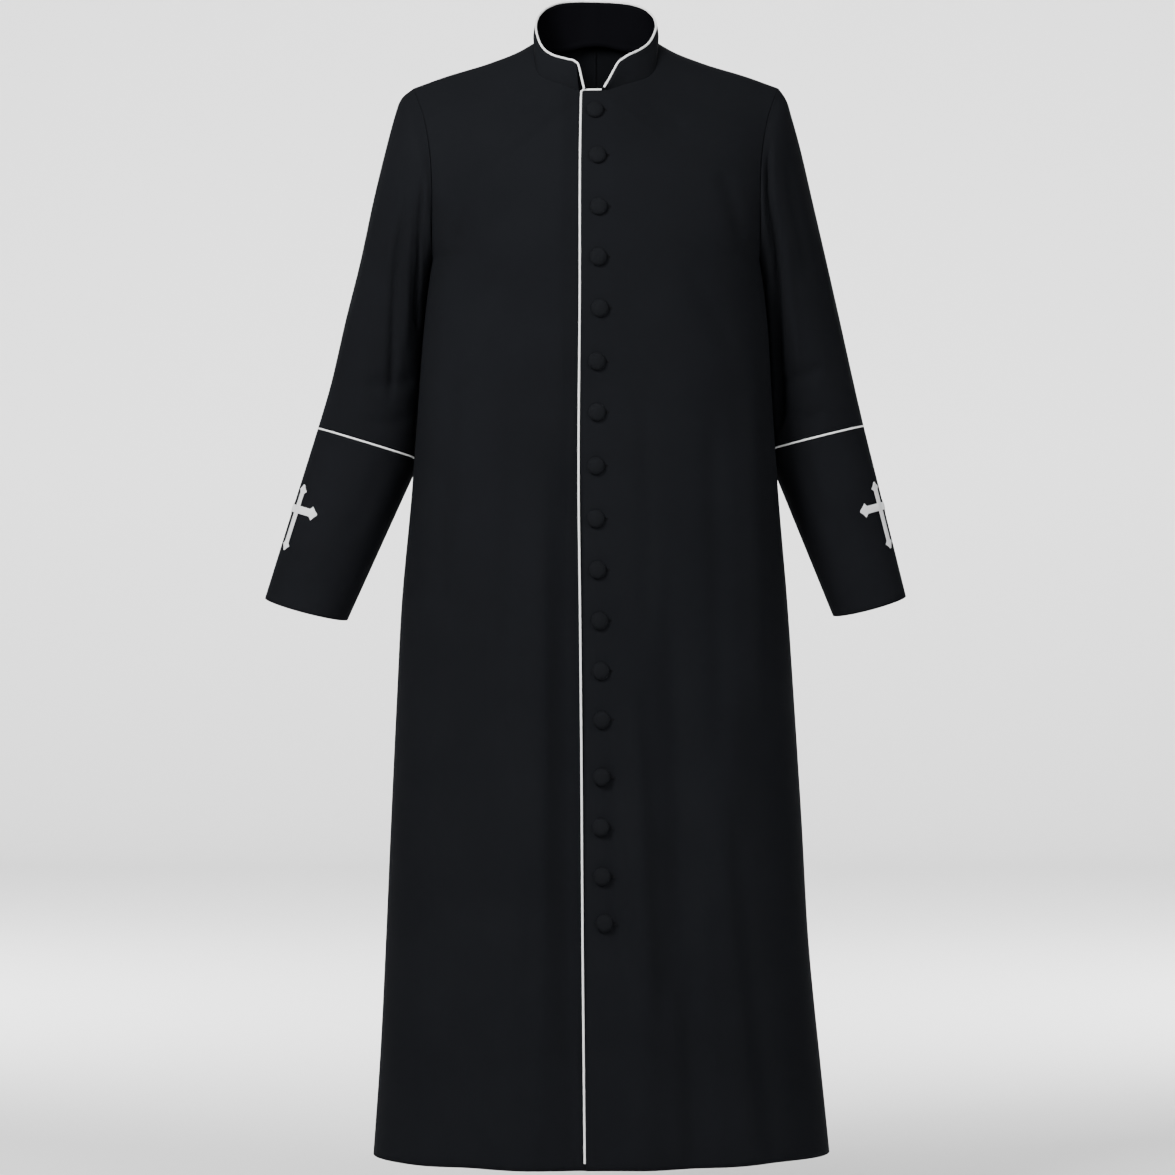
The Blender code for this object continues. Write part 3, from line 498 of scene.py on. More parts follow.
    def lap_dip(self, hand: Hand, face: Face, turn: Array, level: Array) -> Array:
        """How far the right front dips where the left front laps over it.

        Args:
            hand: The half of the robe.
            face: Its front or its back.
            turn: Turn of each place.
            level: Level of each place.

        Returns:
            The dip at each place, 0 on all other panels.
        """
        if face is Face.BACK or hand is Hand.LEFT:
            return np.zeros(np.shape(turn))
        x = -self.half_width(hand, level) * signed_power(np.sin(turn), 2 / self.section_power)
        return self.underlap_dip * ease((x - self.dip_from) / (self.dip_to - self.dip_from))

    def armhole_turn(self, hand: Hand, share: Array) -> Array:
        """The turn at which the armhole crosses its level."""
        turn = self.turn_at(hand, self.yoke_level(share), self.armhole.read(share, "x"))
        return np.where(share <= 0, math.pi / 2, turn)

    def armhole_point(self, hand: Hand, face: Face, share: Array) -> Array:
        """Points of the armhole's line."""
        return self.body(hand, face, self.armhole_turn(hand, share), self.yoke_level(share))

    def edge_x(self, hand: Hand, z: Array) -> Array:
        """Where a front panel's middle edge lies, measured towards its own hand."""
        left = self.edge.read(z, "x") + self.edge_step
        return left if hand is Hand.LEFT else np.full(np.shape(z), -self.underlap)

    def neck_level(self, face: Face, start: float,
                   angle: Array) -> tuple[Array, Array]:
        """The neckline's x and level at degrees of its curve, from x = start.

        Args:
            face: Its front or its back.
            start: Where the curve begins.
            angle: Degrees along the curve.

        Returns:
            The x and the level at each angle.
        """
        x = start + (self.neck_side_x - start) * np.sin(np.radians(angle))
        share = self.share_at(x, self.neck.read(angle, face.word))
        return x, self.yoke_level(np.minimum(1.0, share))

    def top_edge(self, hand: Hand, step: Array) -> tuple[Array, Array]:
        """A front panel's short straight top: 0 at its corner, 1 at the collar's end.

        Args:
            hand: The half of the robe.
            step: Share of the way.

        Returns:
            The x and the level at each step.
        """
        start = self.collar_start(hand)
        corner = float(self.edge_x(hand, np.array(self.edge_top_z)))
        x = corner + (start - corner) * step
        end_z = float(self.neck.read(np.array(0.0), "front"))
        return x, self.level_at(x, end_z - self.top_edge_fall * (1 - step))

    def collar_start(self, hand: Hand) -> float:
        """Where the collar's front end stands from the middle."""
        return self.left_collar_end_x if hand is Hand.LEFT else self.right_collar_end_x

    def side_line(self, hand: Hand, t: Array) -> tuple[Array, Array]:
        """Turn and level of a panel's side seam and armhole, by row number.

        Args:
            hand: The half of the robe.
            t: Row numbers from the hem up.

        Returns:
            The turn and the level of each row.
        """
        share = (1 + np.cos(math.pi * (1 - (t - self.side_rows) / self.arm_rows))) / 2
        skirt = t <= self.side_rows
        turn = np.where(skirt, math.pi / 2, self.armhole_turn(hand, np.where(skirt, 0, share)))
        low = self.hem_z + (self.underarm_z - self.hem_z) * t / self.side_rows
        return turn, np.where(skirt, low, self.yoke_level(share))

    def middle_line(self, hand: Hand, face: Face, t: Array) -> tuple[Array, Array]:
        """Turn and level of a panel's middle edge and neckline, by row number.

        Args:
            hand: The half of the robe.
            face: Its front or its back.
            t: Row numbers from the hem up.

        Returns:
            The turn and the level of each row.
        """
        rows = self.side_rows + self.arm_rows
        front = face is Face.FRONT
        curve_rows = self.front_neck_rows if front else self.back_neck_rows
        curve = rows - curve_rows
        straight = curve - 1 if front else curve
        start = self.collar_start(hand) if front else 0.0
        top = float(self.neck_level(face, start, np.array(0.0))[1])
        level = self.hem_z + (top - self.hem_z) * np.minimum(t / straight, 1)
        x = self.edge_x(hand, level) if front else np.zeros_like(t)
        if front:
            step = np.clip(t - straight, 0, 1)
            top_x, top_level = self.top_edge(hand, step)
            x = np.where(t > straight, top_x, x)
            level = np.where(t > straight, top_level, level)
        angle = 90 * np.clip((t - curve) / curve_rows, 0, 1)
        neck_x, neck_level = self.neck_level(face, start, angle)
        x = np.where(t > curve, neck_x, x)
        level = np.where(t > curve, neck_level, level)
        return self.turn_at(hand, level, x), level

    def seen_from_front(self, x: Array, z: Array) -> Array:
        """Points of the left front's outside at x and z."""
        level = self.level_at(x, z)
        return self.body(Hand.LEFT, Face.FRONT, self.turn_at(Hand.LEFT, level, x), level)

    def sleeve_rows(self, hand: Hand) -> Rows:
        """The sections of one hand's sleeve, from the armhole down."""
        return self.left_sleeve if hand is Hand.LEFT else self.right_sleeve

    def sleeve(self, hand: Hand, s: Array, angle: Array) -> Array:
        """Outside of a sleeve: s is 0 at the armhole and sleeve_end at the cuff seam.

        Args:
            hand: The sleeve's hand.
            s: Place of each point along it.
            angle: Angle of each place, 0 at the outer edge.

        Returns:
            The points.
        """
        table = Table(self.sleeve_columns, self.sleeve_rows(hand))
        points = self.oval(table, s, angle)
        base = self.oval(table, np.zeros_like(s), angle)
        share = (1 + np.cos(angle)) / 2
        front = self.armhole_point(hand, Face.FRONT, share)
        back = self.armhole_point(hand, Face.BACK, share)
        real = np.where((np.sin(angle) >= 0)[..., None], front, back)
        fade = (1 - ease(s / self.cap_fade))[..., None]
        points = points + (real * hand.mirror - base) * fade
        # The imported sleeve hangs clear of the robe, and the real one rests on its side
        under = ((1 - np.cos(angle)) / 2) ** self.rest_power
        rest = ease(s / self.rest_in) * (1 - ease((s - self.rest_out_from) / self.rest_out)) * under
        points = points - stack(rest * self.underarm_rest, 0 * s, 0 * s)
        lower = ease((s - self.clear_from) / self.clear_span)
        share = self.upper_clear_share + (1 - self.upper_clear_share) * lower
        return self.push_clear(hand, points, self.sleeve_clear * share) * hand.mirror

    def cuff(self, hand: Hand, share: Array, angle: Array) -> Array:
        """Outside of a cuff: share is 0 at its seam and 1 at its end.

        Args:
            hand: The cuff's hand.
            share: Place of each point along it.
            angle: Angle of each place, 0 at the outer edge.

        Returns:
            The points.
        """
        end = self.left_cuff_end if hand is Hand.LEFT else self.right_cuff_end
        seam = (0.0, *self.sleeve_rows(hand)[-1][1:])
        points = self.oval(Table(self.sleeve_columns, (seam, end)), share, angle)
        bow = self.cuff_bow * share ** self.cuff_bow_power
        points[..., 2] -= bow * np.maximum(np.sin(angle), 0)
        return self.push_clear(hand, points, self.sleeve_clear) * hand.mirror

    def oval(self, table: Table, s: Array, angle: Array) -> Array:
        """Points on a sleeve's sections.

        Args:
            table: The sections.
            s: Place of each point along it.
            angle: Angle of each place, 0 at the outer edge.

        Returns:
            The points, drawn for the left hand.
        """
        row = {name: self.linear(table, s, name) for name in self.sleeve_columns[1:]}
        x, z = ((row["outer_" + k] + row["inner_" + k]) / 2
                + (row["outer_" + k] - row["inner_" + k]) / 2 * np.cos(angle) for k in "xz")
        return stack(x, row["y"] - row["half_depth"] * np.sin(angle), z)

    @staticmethod
    def linear(table: Table, s: Array, name: str) -> Array:
        """A column of a sleeve table, run on past the end of a two-row one.

        Args:
            table: The sections.
            s: Place of each point.
            name: The column to read.

        Returns:
            The column's value at each place.
        """
        if len(table.rows) == 2:
            at = table.columns.index(name)
            low, high = table.rows[0][at], table.rows[1][at]
            return low + (high - low) * s
        return table.read(s, name)

    def push_clear(self, hand: Hand, points: Array,
                   clear: Array | float) -> Array:
        """Move sleeve points, drawn for the left hand, out until they clear the robe.

        Args:
            hand: The half of the robe beside them.
            points: The points.
            clear: How far off the robe they have to be.

        Returns:
            The moved points.
        """
        x, y, z = np.moveaxis(points, -1, 0)
        deep = np.where(y < 0, self.half_depth(Face.FRONT, z), self.half_depth(Face.BACK, z))
        share = (np.abs(y) / (deep + clear)) ** self.section_power
        wide = self.half_width(hand, z) + clear
        short = wide * np.maximum(1 - share, 0) ** (1 / self.section_power) - x
        soft = self.sleeve_soft
        push = np.where(short >= soft, short, np.maximum(short + soft, 0) ** 2 / (4 * soft))
        free = (z > self.underarm_z - self.clear_below) | (share >= 1)
        return stack(x + np.where(free, 0, push), y, z)

    def rim_point(self, hand: Hand, angle: Array) -> Array:
        """Middle of the collar's cord, so many degrees round from the front.

        Args:
            hand: The half of the collar.
            angle: Degrees round.

        Returns:
            The points.
        """
        radius = self.rim.read(angle, "radius")
        turn = np.radians(angle)
        z = self.rim.read(angle, hand.word)
        return stack(hand.value * radius * np.sin(turn), -radius * np.cos(turn), z)


@dataclass(frozen=True)
class WoolFinish:
    """Matte near-black cloth with a fine twill, a little nap and a soft sheen."""

    name: str
    colour: Triple = (0.0074, 0.0079, 0.0093)
    roughness: float = 0.86
    specular: float = 0.01
    sheen: float = 0.006
    sheen_roughness: float = 0.42
    sheen_tint: Triple = (0.55, 0.60, 0.72)
    mottle: float = 0.16
    mottle_size: float = 0.11
    mottle_detail: float = 3.0
    twill_pitch: float = 0.0009
    twill_depth: float = 0.00006
    twill_degrees: float = 55.0
    twill_waver: float = 0.6
    bands_per_scale: float = 3.183
    nap_size: float = 0.0016
    nap_depth: float = 0.00005
    nap_detail: float = 2.0

    def build(self) -> Material:
        """Make the material from the piece's own weave map and object space.

        Returns:
            The material.
        """
        pen = MaterialPen(self.name)
        pen.set({"Roughness": self.roughness, "Specular IOR Level": self.specular,
                 "Sheen Weight": self.sheen, "Sheen Roughness": self.sheen_roughness,
                 "Sheen Tint": (*self.sheen_tint, 1)})
        place = pen.add("ShaderNodeTexCoord").outputs["Object"]
        weave = pen.add("ShaderNodeUVMap", uv_map="weave").outputs["UV"]
        cloud = pen.noise(place, 1 / self.mottle_size, self.mottle_detail)
        pen.link(pen.tint(cloud, self.colour, self.mottle), "Base Color")
        turned = pen.add("ShaderNodeMapping")
        turned.inputs["Rotation"].default_value = (0, 0, math.radians(self.twill_degrees))
        pen.tree.links.new(weave, turned.inputs["Vector"])
        twill = pen.add("ShaderNodeTexWave", wave_type="BANDS", bands_direction="X")
        twill.inputs["Scale"].default_value = 1 / (self.twill_pitch * self.bands_per_scale)
        twill.inputs["Distortion"].default_value = self.twill_waver
        pen.tree.links.new(turned.outputs["Vector"], twill.inputs["Vector"])
        nap = pen.noise(place, 1 / self.nap_size, self.nap_detail)
        rough = pen.bump(nap, self.nap_depth)
        pen.link(pen.bump(twill.outputs["Fac"], self.twill_depth, rough), "Normal")
        return pen.material


@dataclass(frozen=True)
class CordFinish:
    """White bias-cut piping with fine slanting ribs over a cord."""

    name: str
    colour: Triple = (0.90, 0.90, 0.90)
    roughness: float = 0.55
    sheen: float = 0.15
    rib_pitch: float = 0.0011
    rib_depth: float = 0.00005

    def build(self) -> Material:
        """Make the material, with ribs that follow the cord's own length.

        Returns:
            The material.
        """
        pen = MaterialPen(self.name)
        pen.set({"Roughness": self.roughness, "Base Color": (*self.colour, 1),
                 "Sheen Weight": self.sheen})
        along = pen.add("ShaderNodeAttribute", attribute_name="along").outputs["Fac"]
        around = pen.add("ShaderNodeAttribute", attribute_name="around").outputs["Fac"]
        turns = pen.maths("MULTIPLY", along, 1 / self.rib_pitch)
        slanted = pen.maths("ADD", turns, around)
        wave = pen.maths("SINE", pen.maths("MULTIPLY", slanted, 2 * math.pi))
        pen.link(pen.bump(wave, self.rib_depth), "Normal")
        return pen.material


@dataclass(frozen=True)
class ThreadFinish:
    """Twisted sewing or embroidery thread."""

    name: str
    colour: Triple
    roughness: float = 0.45
    specular: float = 0.4
    sheen: float = 0.2
    grain: float = 420.0
    grain_detail: float = 2.0
    mottle: float = 0.10

    def build(self) -> Material:
        """Make the material with a slight unevenness between places.

        Returns:
            The material.
        """
        pen = MaterialPen(self.name)
        pen.set({"Roughness": self.roughness, "Specular IOR Level": self.specular,
                 "Sheen Weight": self.sheen})
        place = pen.add("ShaderNodeTexCoord").outputs["Object"]
        grain = pen.noise(place, self.grain, self.grain_detail)
        pen.link(pen.tint(grain, self.colour, self.mottle), "Base Color")
        return pen.material


@dataclass(frozen=True)
class PaperFinish:
    """The plain pale sweep of paper behind and under the robe."""

    name: str = "paper"
    colour: Triple = (0.93, 0.93, 0.93)
    roughness: float = 0.9

    def build(self) -> Material:
        """Make the flat pale material."""
        return MaterialPen(self.name).set({
            "Base Color": (*self.colour, 1), "Roughness": self.roughness}).material


class MaterialPen:
    """Draws one procedural material, node by node."""

    def __init__(self, name: str) -> None:
        """Start a material of that name with one Principled shader.

        Args:
            name: The material's name.
        """
        self.material = bpy.data.materials.new(name)
        self.material.use_nodes = True
        self.tree = self.material.node_tree
        self.shader = self.tree.nodes["Principled BSDF"]

    def add(self, kind: str, **settings: object) -> bpy.types.Node:
        """Add a node and set its plain properties.

        Args:
            kind: The node's type.
            settings: The properties.

        Returns:
            The node.
        """
        node = self.tree.nodes.new(kind)
        for key, value in settings.items():
            setattr(node, key, value)
        return node

    def set(self, values: dict[str, object]) -> "MaterialPen":
        """Set some of the shader's own sockets.

        Args:
            values: The value of each named socket.

        Returns:
            The same pen.
        """
        for socket, value in values.items():
            self.shader.inputs[socket].default_value = value
        return self

    def link(self, output: Socket, socket: str) -> None:
        """Lead an output into one of the shader's sockets."""
        self.tree.links.new(output, self.shader.inputs[socket])

    def maths(self, operation: str, first: Socket,
              second: Socket | float = 0.5) -> Socket:
        """One step of arithmetic on an output.

        Args:
            operation: Name of the Math node's operation.
            first: Its first value.
            second: Its second value, another output or a number.

        Returns:
            The result's output.
        """
        node = self.add("ShaderNodeMath", operation=operation)
        self.tree.links.new(first, node.inputs[0])
        if isinstance(second, float):
            node.inputs[1].default_value = second
        else:
            self.tree.links.new(second, node.inputs[1])
        return node.outputs[0]

    def noise(self, place: Socket, scale: float,
              detail: float) -> Socket:
        """Soft noise over a set of coordinates.

        Args:
            place: The coordinates.
            scale: Its spots in a metre.
            detail: Its octaves.

        Returns:
            The noise's output.
        """
        node = self.add("ShaderNodeTexNoise")
        node.inputs["Scale"].default_value = scale
        node.inputs["Detail"].default_value = detail
        self.tree.links.new(place, node.inputs["Vector"])
        return node.outputs["Fac"]

    def tint(self, factor: Socket, colour: Triple,
             spread: float) -> Socket:
        """A colour that noise makes a little darker here and lighter there.

        Args:
            factor: The noise.
            colour: The colour.
            spread: Share of change each way.

        Returns:
            The colour's output.
        """
        node = self.add("ShaderNodeMix", data_type="RGBA")
        low, high = 1 - spread, 1 + spread
        for socket in node.inputs:
            if socket.type == "RGBA" and socket.name in "AB":
                level = low if socket.name == "A" else high
                socket.default_value = (*(min(1.0, c * level) for c in colour), 1)
        self.tree.links.new(factor, node.inputs[0])
        return next(s for s in node.outputs if s.type == "RGBA")

    def bump(self, height: Socket, depth: float,
             below: Socket | None = None) -> Socket:
        """Relief from a height, over an earlier relief if there is one.

        Args:
            height: The height.
            depth: Its full depth in metres.
            below: The earlier relief.

        Returns:
            The relief's output.
        """
        node = self.add("ShaderNodeBump")
        node.inputs["Strength"].default_value = 1.0
        node.inputs["Distance"].default_value = depth
        self.tree.links.new(height, node.inputs["Height"])
        if below is not None:
            self.tree.links.new(below, node.inputs["Normal"])
        return node.outputs["Normal"]


class NodeTree:
    """A Geometry Nodes tree with named inputs for its sizes."""

    def __init__(self, name: str, sizes: dict[str, str]) -> None:
        """Start a tree.

        Args:
            name: The tree's name.
            sizes: Kind of socket for each named input after the geometry.
        """
        self.tree = bpy.data.node_groups.new(name, "GeometryNodeTree")
        face = self.tree.interface
        face.new_socket("Geometry", in_out="OUTPUT", socket_type="NodeSocketGeometry")
        face.new_socket("Geometry", in_out="INPUT", socket_type="NodeSocketGeometry")
        for key, kind in sizes.items():
            face.new_socket(key, in_out="INPUT", socket_type="NodeSocket" + kind)
        self.source = self.tree.nodes.new("NodeGroupInput")
        self.sink = self.tree.nodes.new("NodeGroupOutput")

    def add(self, kind: str, inputs: dict[int | str, object] | None = None,
            **settings: object) -> bpy.types.Node:
        """Add a node.

        Args:
            kind: The node's type.
            inputs: For each input, a value or the output that leads into it.
            settings: The node's plain properties.

        Returns:
            The node.
        """
        node = self.tree.nodes.new(kind)
        for key, value in settings.items():
            setattr(node, key, value)
        for key, value in (inputs or {}).items():
            if isinstance(value, Socket):
                self.tree.links.new(value, node.inputs[key])
            else:
                node.inputs[key].default_value = value
        return node

    def store(self, geometry: Socket, name: str,
              value: Socket) -> Socket:
        """Keep a value on every point under a name.

        Args:
            geometry: The points.
            name: The attribute's name.
            value: The value.

        Returns:
            The geometry with the attribute.
        """
        return self.add("GeometryNodeStoreNamedAttribute",
                        {"Geometry": geometry, "Name": name, "Value": value},
                        data_type="FLOAT", domain="POINT").outputs[0]

    def close(self, geometry: Socket) -> None:
        """End the tree with smooth, real meshes in the given material.

        Args:
            geometry: What the tree has made.
        """
        smooth = self.add("GeometryNodeSetShadeSmooth", {0: geometry})
        real = self.add("GeometryNodeRealizeInstances", {0: smooth.outputs[0]})
        dressed = self.add("GeometryNodeSetMaterial", {
            "Geometry": real.outputs[0], "Material": self.source.outputs["Material"]})
        self.tree.links.new(dressed.outputs[0], self.sink.inputs[0])

    def grow(self, name: str, paths: Mesh, sizes: dict[str, object]) -> Object:
        """Run the tree on a mesh of paths and keep the plain mesh that it makes.

        Args:
            name: Name of the piece.
            paths: The paths, as edges.
            sizes: Value of each named input.

        Returns:
            The object, with no modifier.
        """
        thing = put(name, paths)
        modifier = thing.modifiers.new(name, "NODES")
        modifier.node_group = self.tree
        for item in self.tree.interface.items_tree:
            if item.item_type == "SOCKET" and item.in_out == "INPUT" and item.name in sizes:
                modifier[item.identifier] = sizes[item.name]
        graph = bpy.context.evaluated_depsgraph_get()
        mesh = bpy.data.meshes.new_from_object(thing.evaluated_get(graph))
        thing.modifiers.remove(modifier)
        thing.data = mesh
        mesh.name = name
        return thing


def thread_tree() -> NodeTree:
    """A tree that turns paths into round threads or cords.

    Returns:
        The tree, whose paths carry a share of the radius in the attribute thick.
    """
    nodes = NodeTree("threads", {"Radius": "Float", "Sides": "Int", "Material": "Material"})
    size = nodes.source.outputs
    line = nodes.add("GeometryNodeMeshToCurve", {0: size["Geometry"]})
    thick = nodes.add("GeometryNodeInputNamedAttribute", {"Name": "thick"}, data_type="FLOAT")
    shaped = nodes.add("GeometryNodeSetCurveRadius", {"Curve": line.outputs[0],
                                                      "Radius": thick.outputs[0]})
    ring = nodes.add("GeometryNodeCurvePrimitiveCircle", {"Resolution": size["Sides"],
                                                          "Radius": size["Radius"]})
    run = nodes.add("GeometryNodeSplineParameter").outputs
    tube = nodes.add("GeometryNodeCurveToMesh", {
        "Curve": nodes.store(shaped.outputs[0], "along", run["Length"]),
        "Profile Curve": nodes.store(ring.outputs[0], "around", run["Factor"]),
        "Fill Caps": True})
    nodes.close(tube.outputs[0])
    return nodes


def stitch_tree() -> NodeTree:
    """A tree that sews a row of stitches along each path.

    Returns:
        The tree, whose paths carry the cloth's outward direction in the attribute lift.
    """
    sizes = {"Pitch": "Float", "Stitch Along": "Float", "Stitch Across": "Float",
             "Stitch Height": "Float", "Unevenness": "Float", "Seed": "Int", "Material": "Material"}
    nodes = NodeTree("stitches", sizes)
    size = nodes.source.outputs
    line = nodes.add("GeometryNodeMeshToCurve", {0: size["Geometry"]})
    points = nodes.add("GeometryNodeCurveToPoints",
                       {"Curve": line.outputs[0], "Length": size["Pitch"]}, mode="LENGTH")
    lift = nodes.add("GeometryNodeInputNamedAttribute", {"Name": "lift"}, data_type="FLOAT_VECTOR")
    up = nodes.add("FunctionNodeAlignRotationToVector", {"Vector": lift.outputs[0]}, axis="Z")
    turned = nodes.add("FunctionNodeAlignRotationToVector",
                       {"Rotation": up.outputs[0], "Vector": points.outputs["Tangent"]},
                       axis="X", pivot_axis="Z")
    shape = nodes.add("ShaderNodeCombineXYZ", {
        0: size["Stitch Along"], 1: size["Stitch Across"], 2: size["Stitch Height"]})
    bead = nodes.add("GeometryNodeMeshUVSphere", {"Segments": 6, "Rings": 4, "Radius": 0.5})
    sized = nodes.add("GeometryNodeTransform", {"Geometry": bead.outputs[0],
                                                "Scale": shape.outputs[0]})
    uneven = nodes.add("FunctionNodeRandomValue", {"Seed": size["Seed"]}, data_type="FLOAT")
    limits = [s for s in uneven.inputs if s.type == "VALUE"]
    for operation, limit in zip(("SUBTRACT", "ADD"), limits):
        level = nodes.add("ShaderNodeMath", {0: 1.0, 1: size["Unevenness"]}, operation=operation)
        nodes.tree.links.new(level.outputs[0], limit)
    drawn = next(s for s in uneven.outputs if s.type == "VALUE")
    placed = nodes.add("GeometryNodeInstanceOnPoints", {
        "Points": points.outputs["Points"], "Instance": sized.outputs[0],
        "Rotation": turned.outputs[0], "Scale": drawn})
    nodes.close(placed.outputs[0])
    return nodes


def path_mesh(name: str, paths: list[Array], closed: bool = False,
              lifts_at: list[Array] | None = None,
              thick: list[Array] | None = None) -> Mesh:
    """Paths as a mesh of edges that a Geometry Nodes tree can follow.

    Args:
        name: Name of the mesh.
        paths: Points of each.
        closed: Whether each is a ring.
        lifts_at: The cloth's outward direction at every point.
        thick: Share of the radius at every point.

    Returns:
        The mesh, with its attributes.
    """
    edges = []
    start = 0
    for path in paths:
        count = len(path)
        edges += [(start + k, start + k + 1) for k in range(count - 1)]
        if closed:
            edges.append((start + count - 1, start))
        start += count
    mesh = bpy.data.meshes.new(name)
    mesh.from_pydata(np.concatenate(paths).tolist(), edges, [])
    if lifts_at is not None:
        layer = mesh.attributes.new("lift", "FLOAT_VECTOR", "POINT")
        layer.data.foreach_set("vector", np.concatenate(lifts_at).astype(np.float32).ravel())
    share = np.ones(start) if thick is None else np.concatenate(thick)
    layer = mesh.attributes.new("thick", "FLOAT", "POINT")
    layer.data.foreach_set("value", share.astype(np.float32))
    return mesh


def wall_mesh(name: str, outer: Array, inner: Array, outward: Array,
              ring: bool = False) -> Mesh:
    """A closed thin wall between two grids of points, with its weave map in metres.

    Args:
        name: Name of the mesh.
        outer: Outside points.
        inner: Inside points.
        outward: Outward directions.
        ring: Whether the columns close into a tube.

    Returns:
        The finished mesh.
    """
    rows, columns = outer.shape[:2]
    count = rows * columns
    j, c = np.meshgrid(np.arange(rows - 1), np.arange(columns if ring else columns - 1),
                       indexing="ij")
    low = j * columns
    high, d = low + columns, (c + 1) % columns
    grid = np.stack([low + c, low + d, high + d, high + c], -1)
    wrapped = np.concatenate([outer, outer[:, :1]], axis=1) if ring else outer
    uv = np.stack([run_lengths(wrapped, 1), run_lengths(wrapped, 0)], -1)
    grid_uv = np.stack([uv[j, c], uv[j, c + 1], uv[j + 1, c + 1], uv[j + 1, c]], 2)
    quads, quad_uv = grid.reshape(-1, 4), grid_uv.reshape(-1, 4, 2)
    faces = [quads, quads[:, ::-1] + count]
    maps = [quad_uv, quad_uv[:, ::-1]]
    every = slice(None)
    edges = [((0, every), 0, 1), ((-1, every), 2, 3)]
    if not ring:
        edges += [((every, -1), 1, 2), ((every, 0), 3, 0)]
    for place, start, end in edges:
        a, b = grid[place][:, start], grid[place][:, end]
        faces.append(np.stack([b, a, a + count, b + count], -1))
        maps.append(grid_uv[place][:, [end, start, start, end]])
    faces = np.concatenate(faces)
    maps = np.concatenate(maps)
    flat = outer.reshape(-1, 3)
    first = quads[len(quads) // 2]
    turned = np.cross(flat[first[2]] - flat[first[0]], flat[first[3]] - flat[first[1]])
    if np.dot(turned, outward.reshape(-1, 3)[first[0]]) < 0:
        faces = faces[:, ::-1]
        maps = maps[:, ::-1]
    mesh = bpy.data.meshes.new(name)
    mesh.vertices.add(2 * count)
    places = np.concatenate([flat, inner.reshape(-1, 3)]).astype(np.float32)
    mesh.vertices.foreach_set("co", places.ravel())
    mesh.loops.add(faces.size)
    mesh.loops.foreach_set("vertex_index", faces.astype(np.int32).ravel())
    mesh.polygons.add(len(faces))
    mesh.polygons.foreach_set("loop_start", np.arange(0, faces.size, 4, dtype=np.int32))
    mesh.update(calc_edges=True)
    mesh.validate()
    layer = mesh.uv_layers.new(name="weave")
    layer.uv.foreach_set("vector", np.ascontiguousarray(maps).astype(np.float32).ravel())
    mesh.polygons.foreach_set("use_smooth", np.arange(len(faces)) < 2 * len(quads))
    return mesh


def grid_normals(points: Array, middle: Array, ring: bool = False) -> Array:
    """Outward directions of a grid of points.

    Args:
        points: Rows by columns by 3.
        middle: A point or points that the outside turns away from.
        ring: Whether the columns close into a tube.

    Returns:
        One unit vector for each point.
    """
    if ring:
        across = np.roll(points, -1, axis=1) - np.roll(points, 1, axis=1)
    else:
        across = np.gradient(points, axis=1)
    up = np.gradient(points, axis=0)
    normals = unit(np.cross(across, up))
    if np.sum(normals * (points - middle)) < 0:
        normals = -normals
    return normals


def tube_normals(rings: Array) -> Array:
    """Outward directions of a tube's rings of points."""
    return grid_normals(rings, rings.mean(axis=1, keepdims=True), True)


def facing_front(normals: Array) -> Array:
    """The same directions, turned round where they point behind."""
    return np.where(normals[..., 1:2] > 0, -normals, normals)


def half_surface(mesh: Mesh) -> float:
    """Area of one side of a thin closed mesh, in square metres."""
    return sum(face.area for face in mesh.polygons) / 2


@dataclass
class Workshop:
    """What every piece is made with: the form, the finishes and the node trees."""

    form: RobeForm
    cloth: Material
    button_cloth: Material
    # Near-black cloth with no sheen for the collar's inside faces: painted shade, darker than the
    # robe cloth
    facing: Material
    cord: Material
    satin: Material
    black_thread: Material
    threads: NodeTree
    stitches: NodeTree

    def place(self, thing: Object, slot: str,
              nodes: tuple[str, ...] = ()) -> Object:
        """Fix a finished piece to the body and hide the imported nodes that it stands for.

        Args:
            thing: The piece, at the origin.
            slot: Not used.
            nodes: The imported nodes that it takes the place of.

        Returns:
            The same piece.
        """
        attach(thing, BODY)
        if nodes:
            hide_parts(*nodes)
        LOG.info("%s: %d faces", thing.name, len(thing.data.polygons))
        return thing

    def shell(self, name: str, mesh: Mesh) -> Object:
        """A cloth piece from its finished mesh."""
        mesh.materials.append(self.cloth)
        return self.place(put(name, mesh), "cloth", (name.removesuffix("_dressed"),))


@dataclass
class ClothPiece:
    """A cut and sewn sheet: its wall, its seams and the size it was cut to."""

    shop: Workshop
    name: str
    flat: Pair
    area: float
    wall: float = 0.0016
    seam_gap: float = -0.0003
    seam_sink: float = 0.0009
    tuck: float = 0.0060
    held: Hold = Hold.HUNG

    def finish(self, outer: Array, inner: Array, normals: Array,
               ring: bool) -> Object:
        """Args:
            outer: Outside points.
            inner: Inside points.
            normals: Outward directions.
            ring: Whether it is a tube.

        Returns:
            The finished piece.
        """
        mesh = wall_mesh(self.name + "_dressed", outer, inner, normals, ring)
        thing = self.shop.shell(self.name + "_dressed", mesh)
        LOG.info("%s: %.4f square metres on one side", self.name, half_surface(mesh))
        return thing


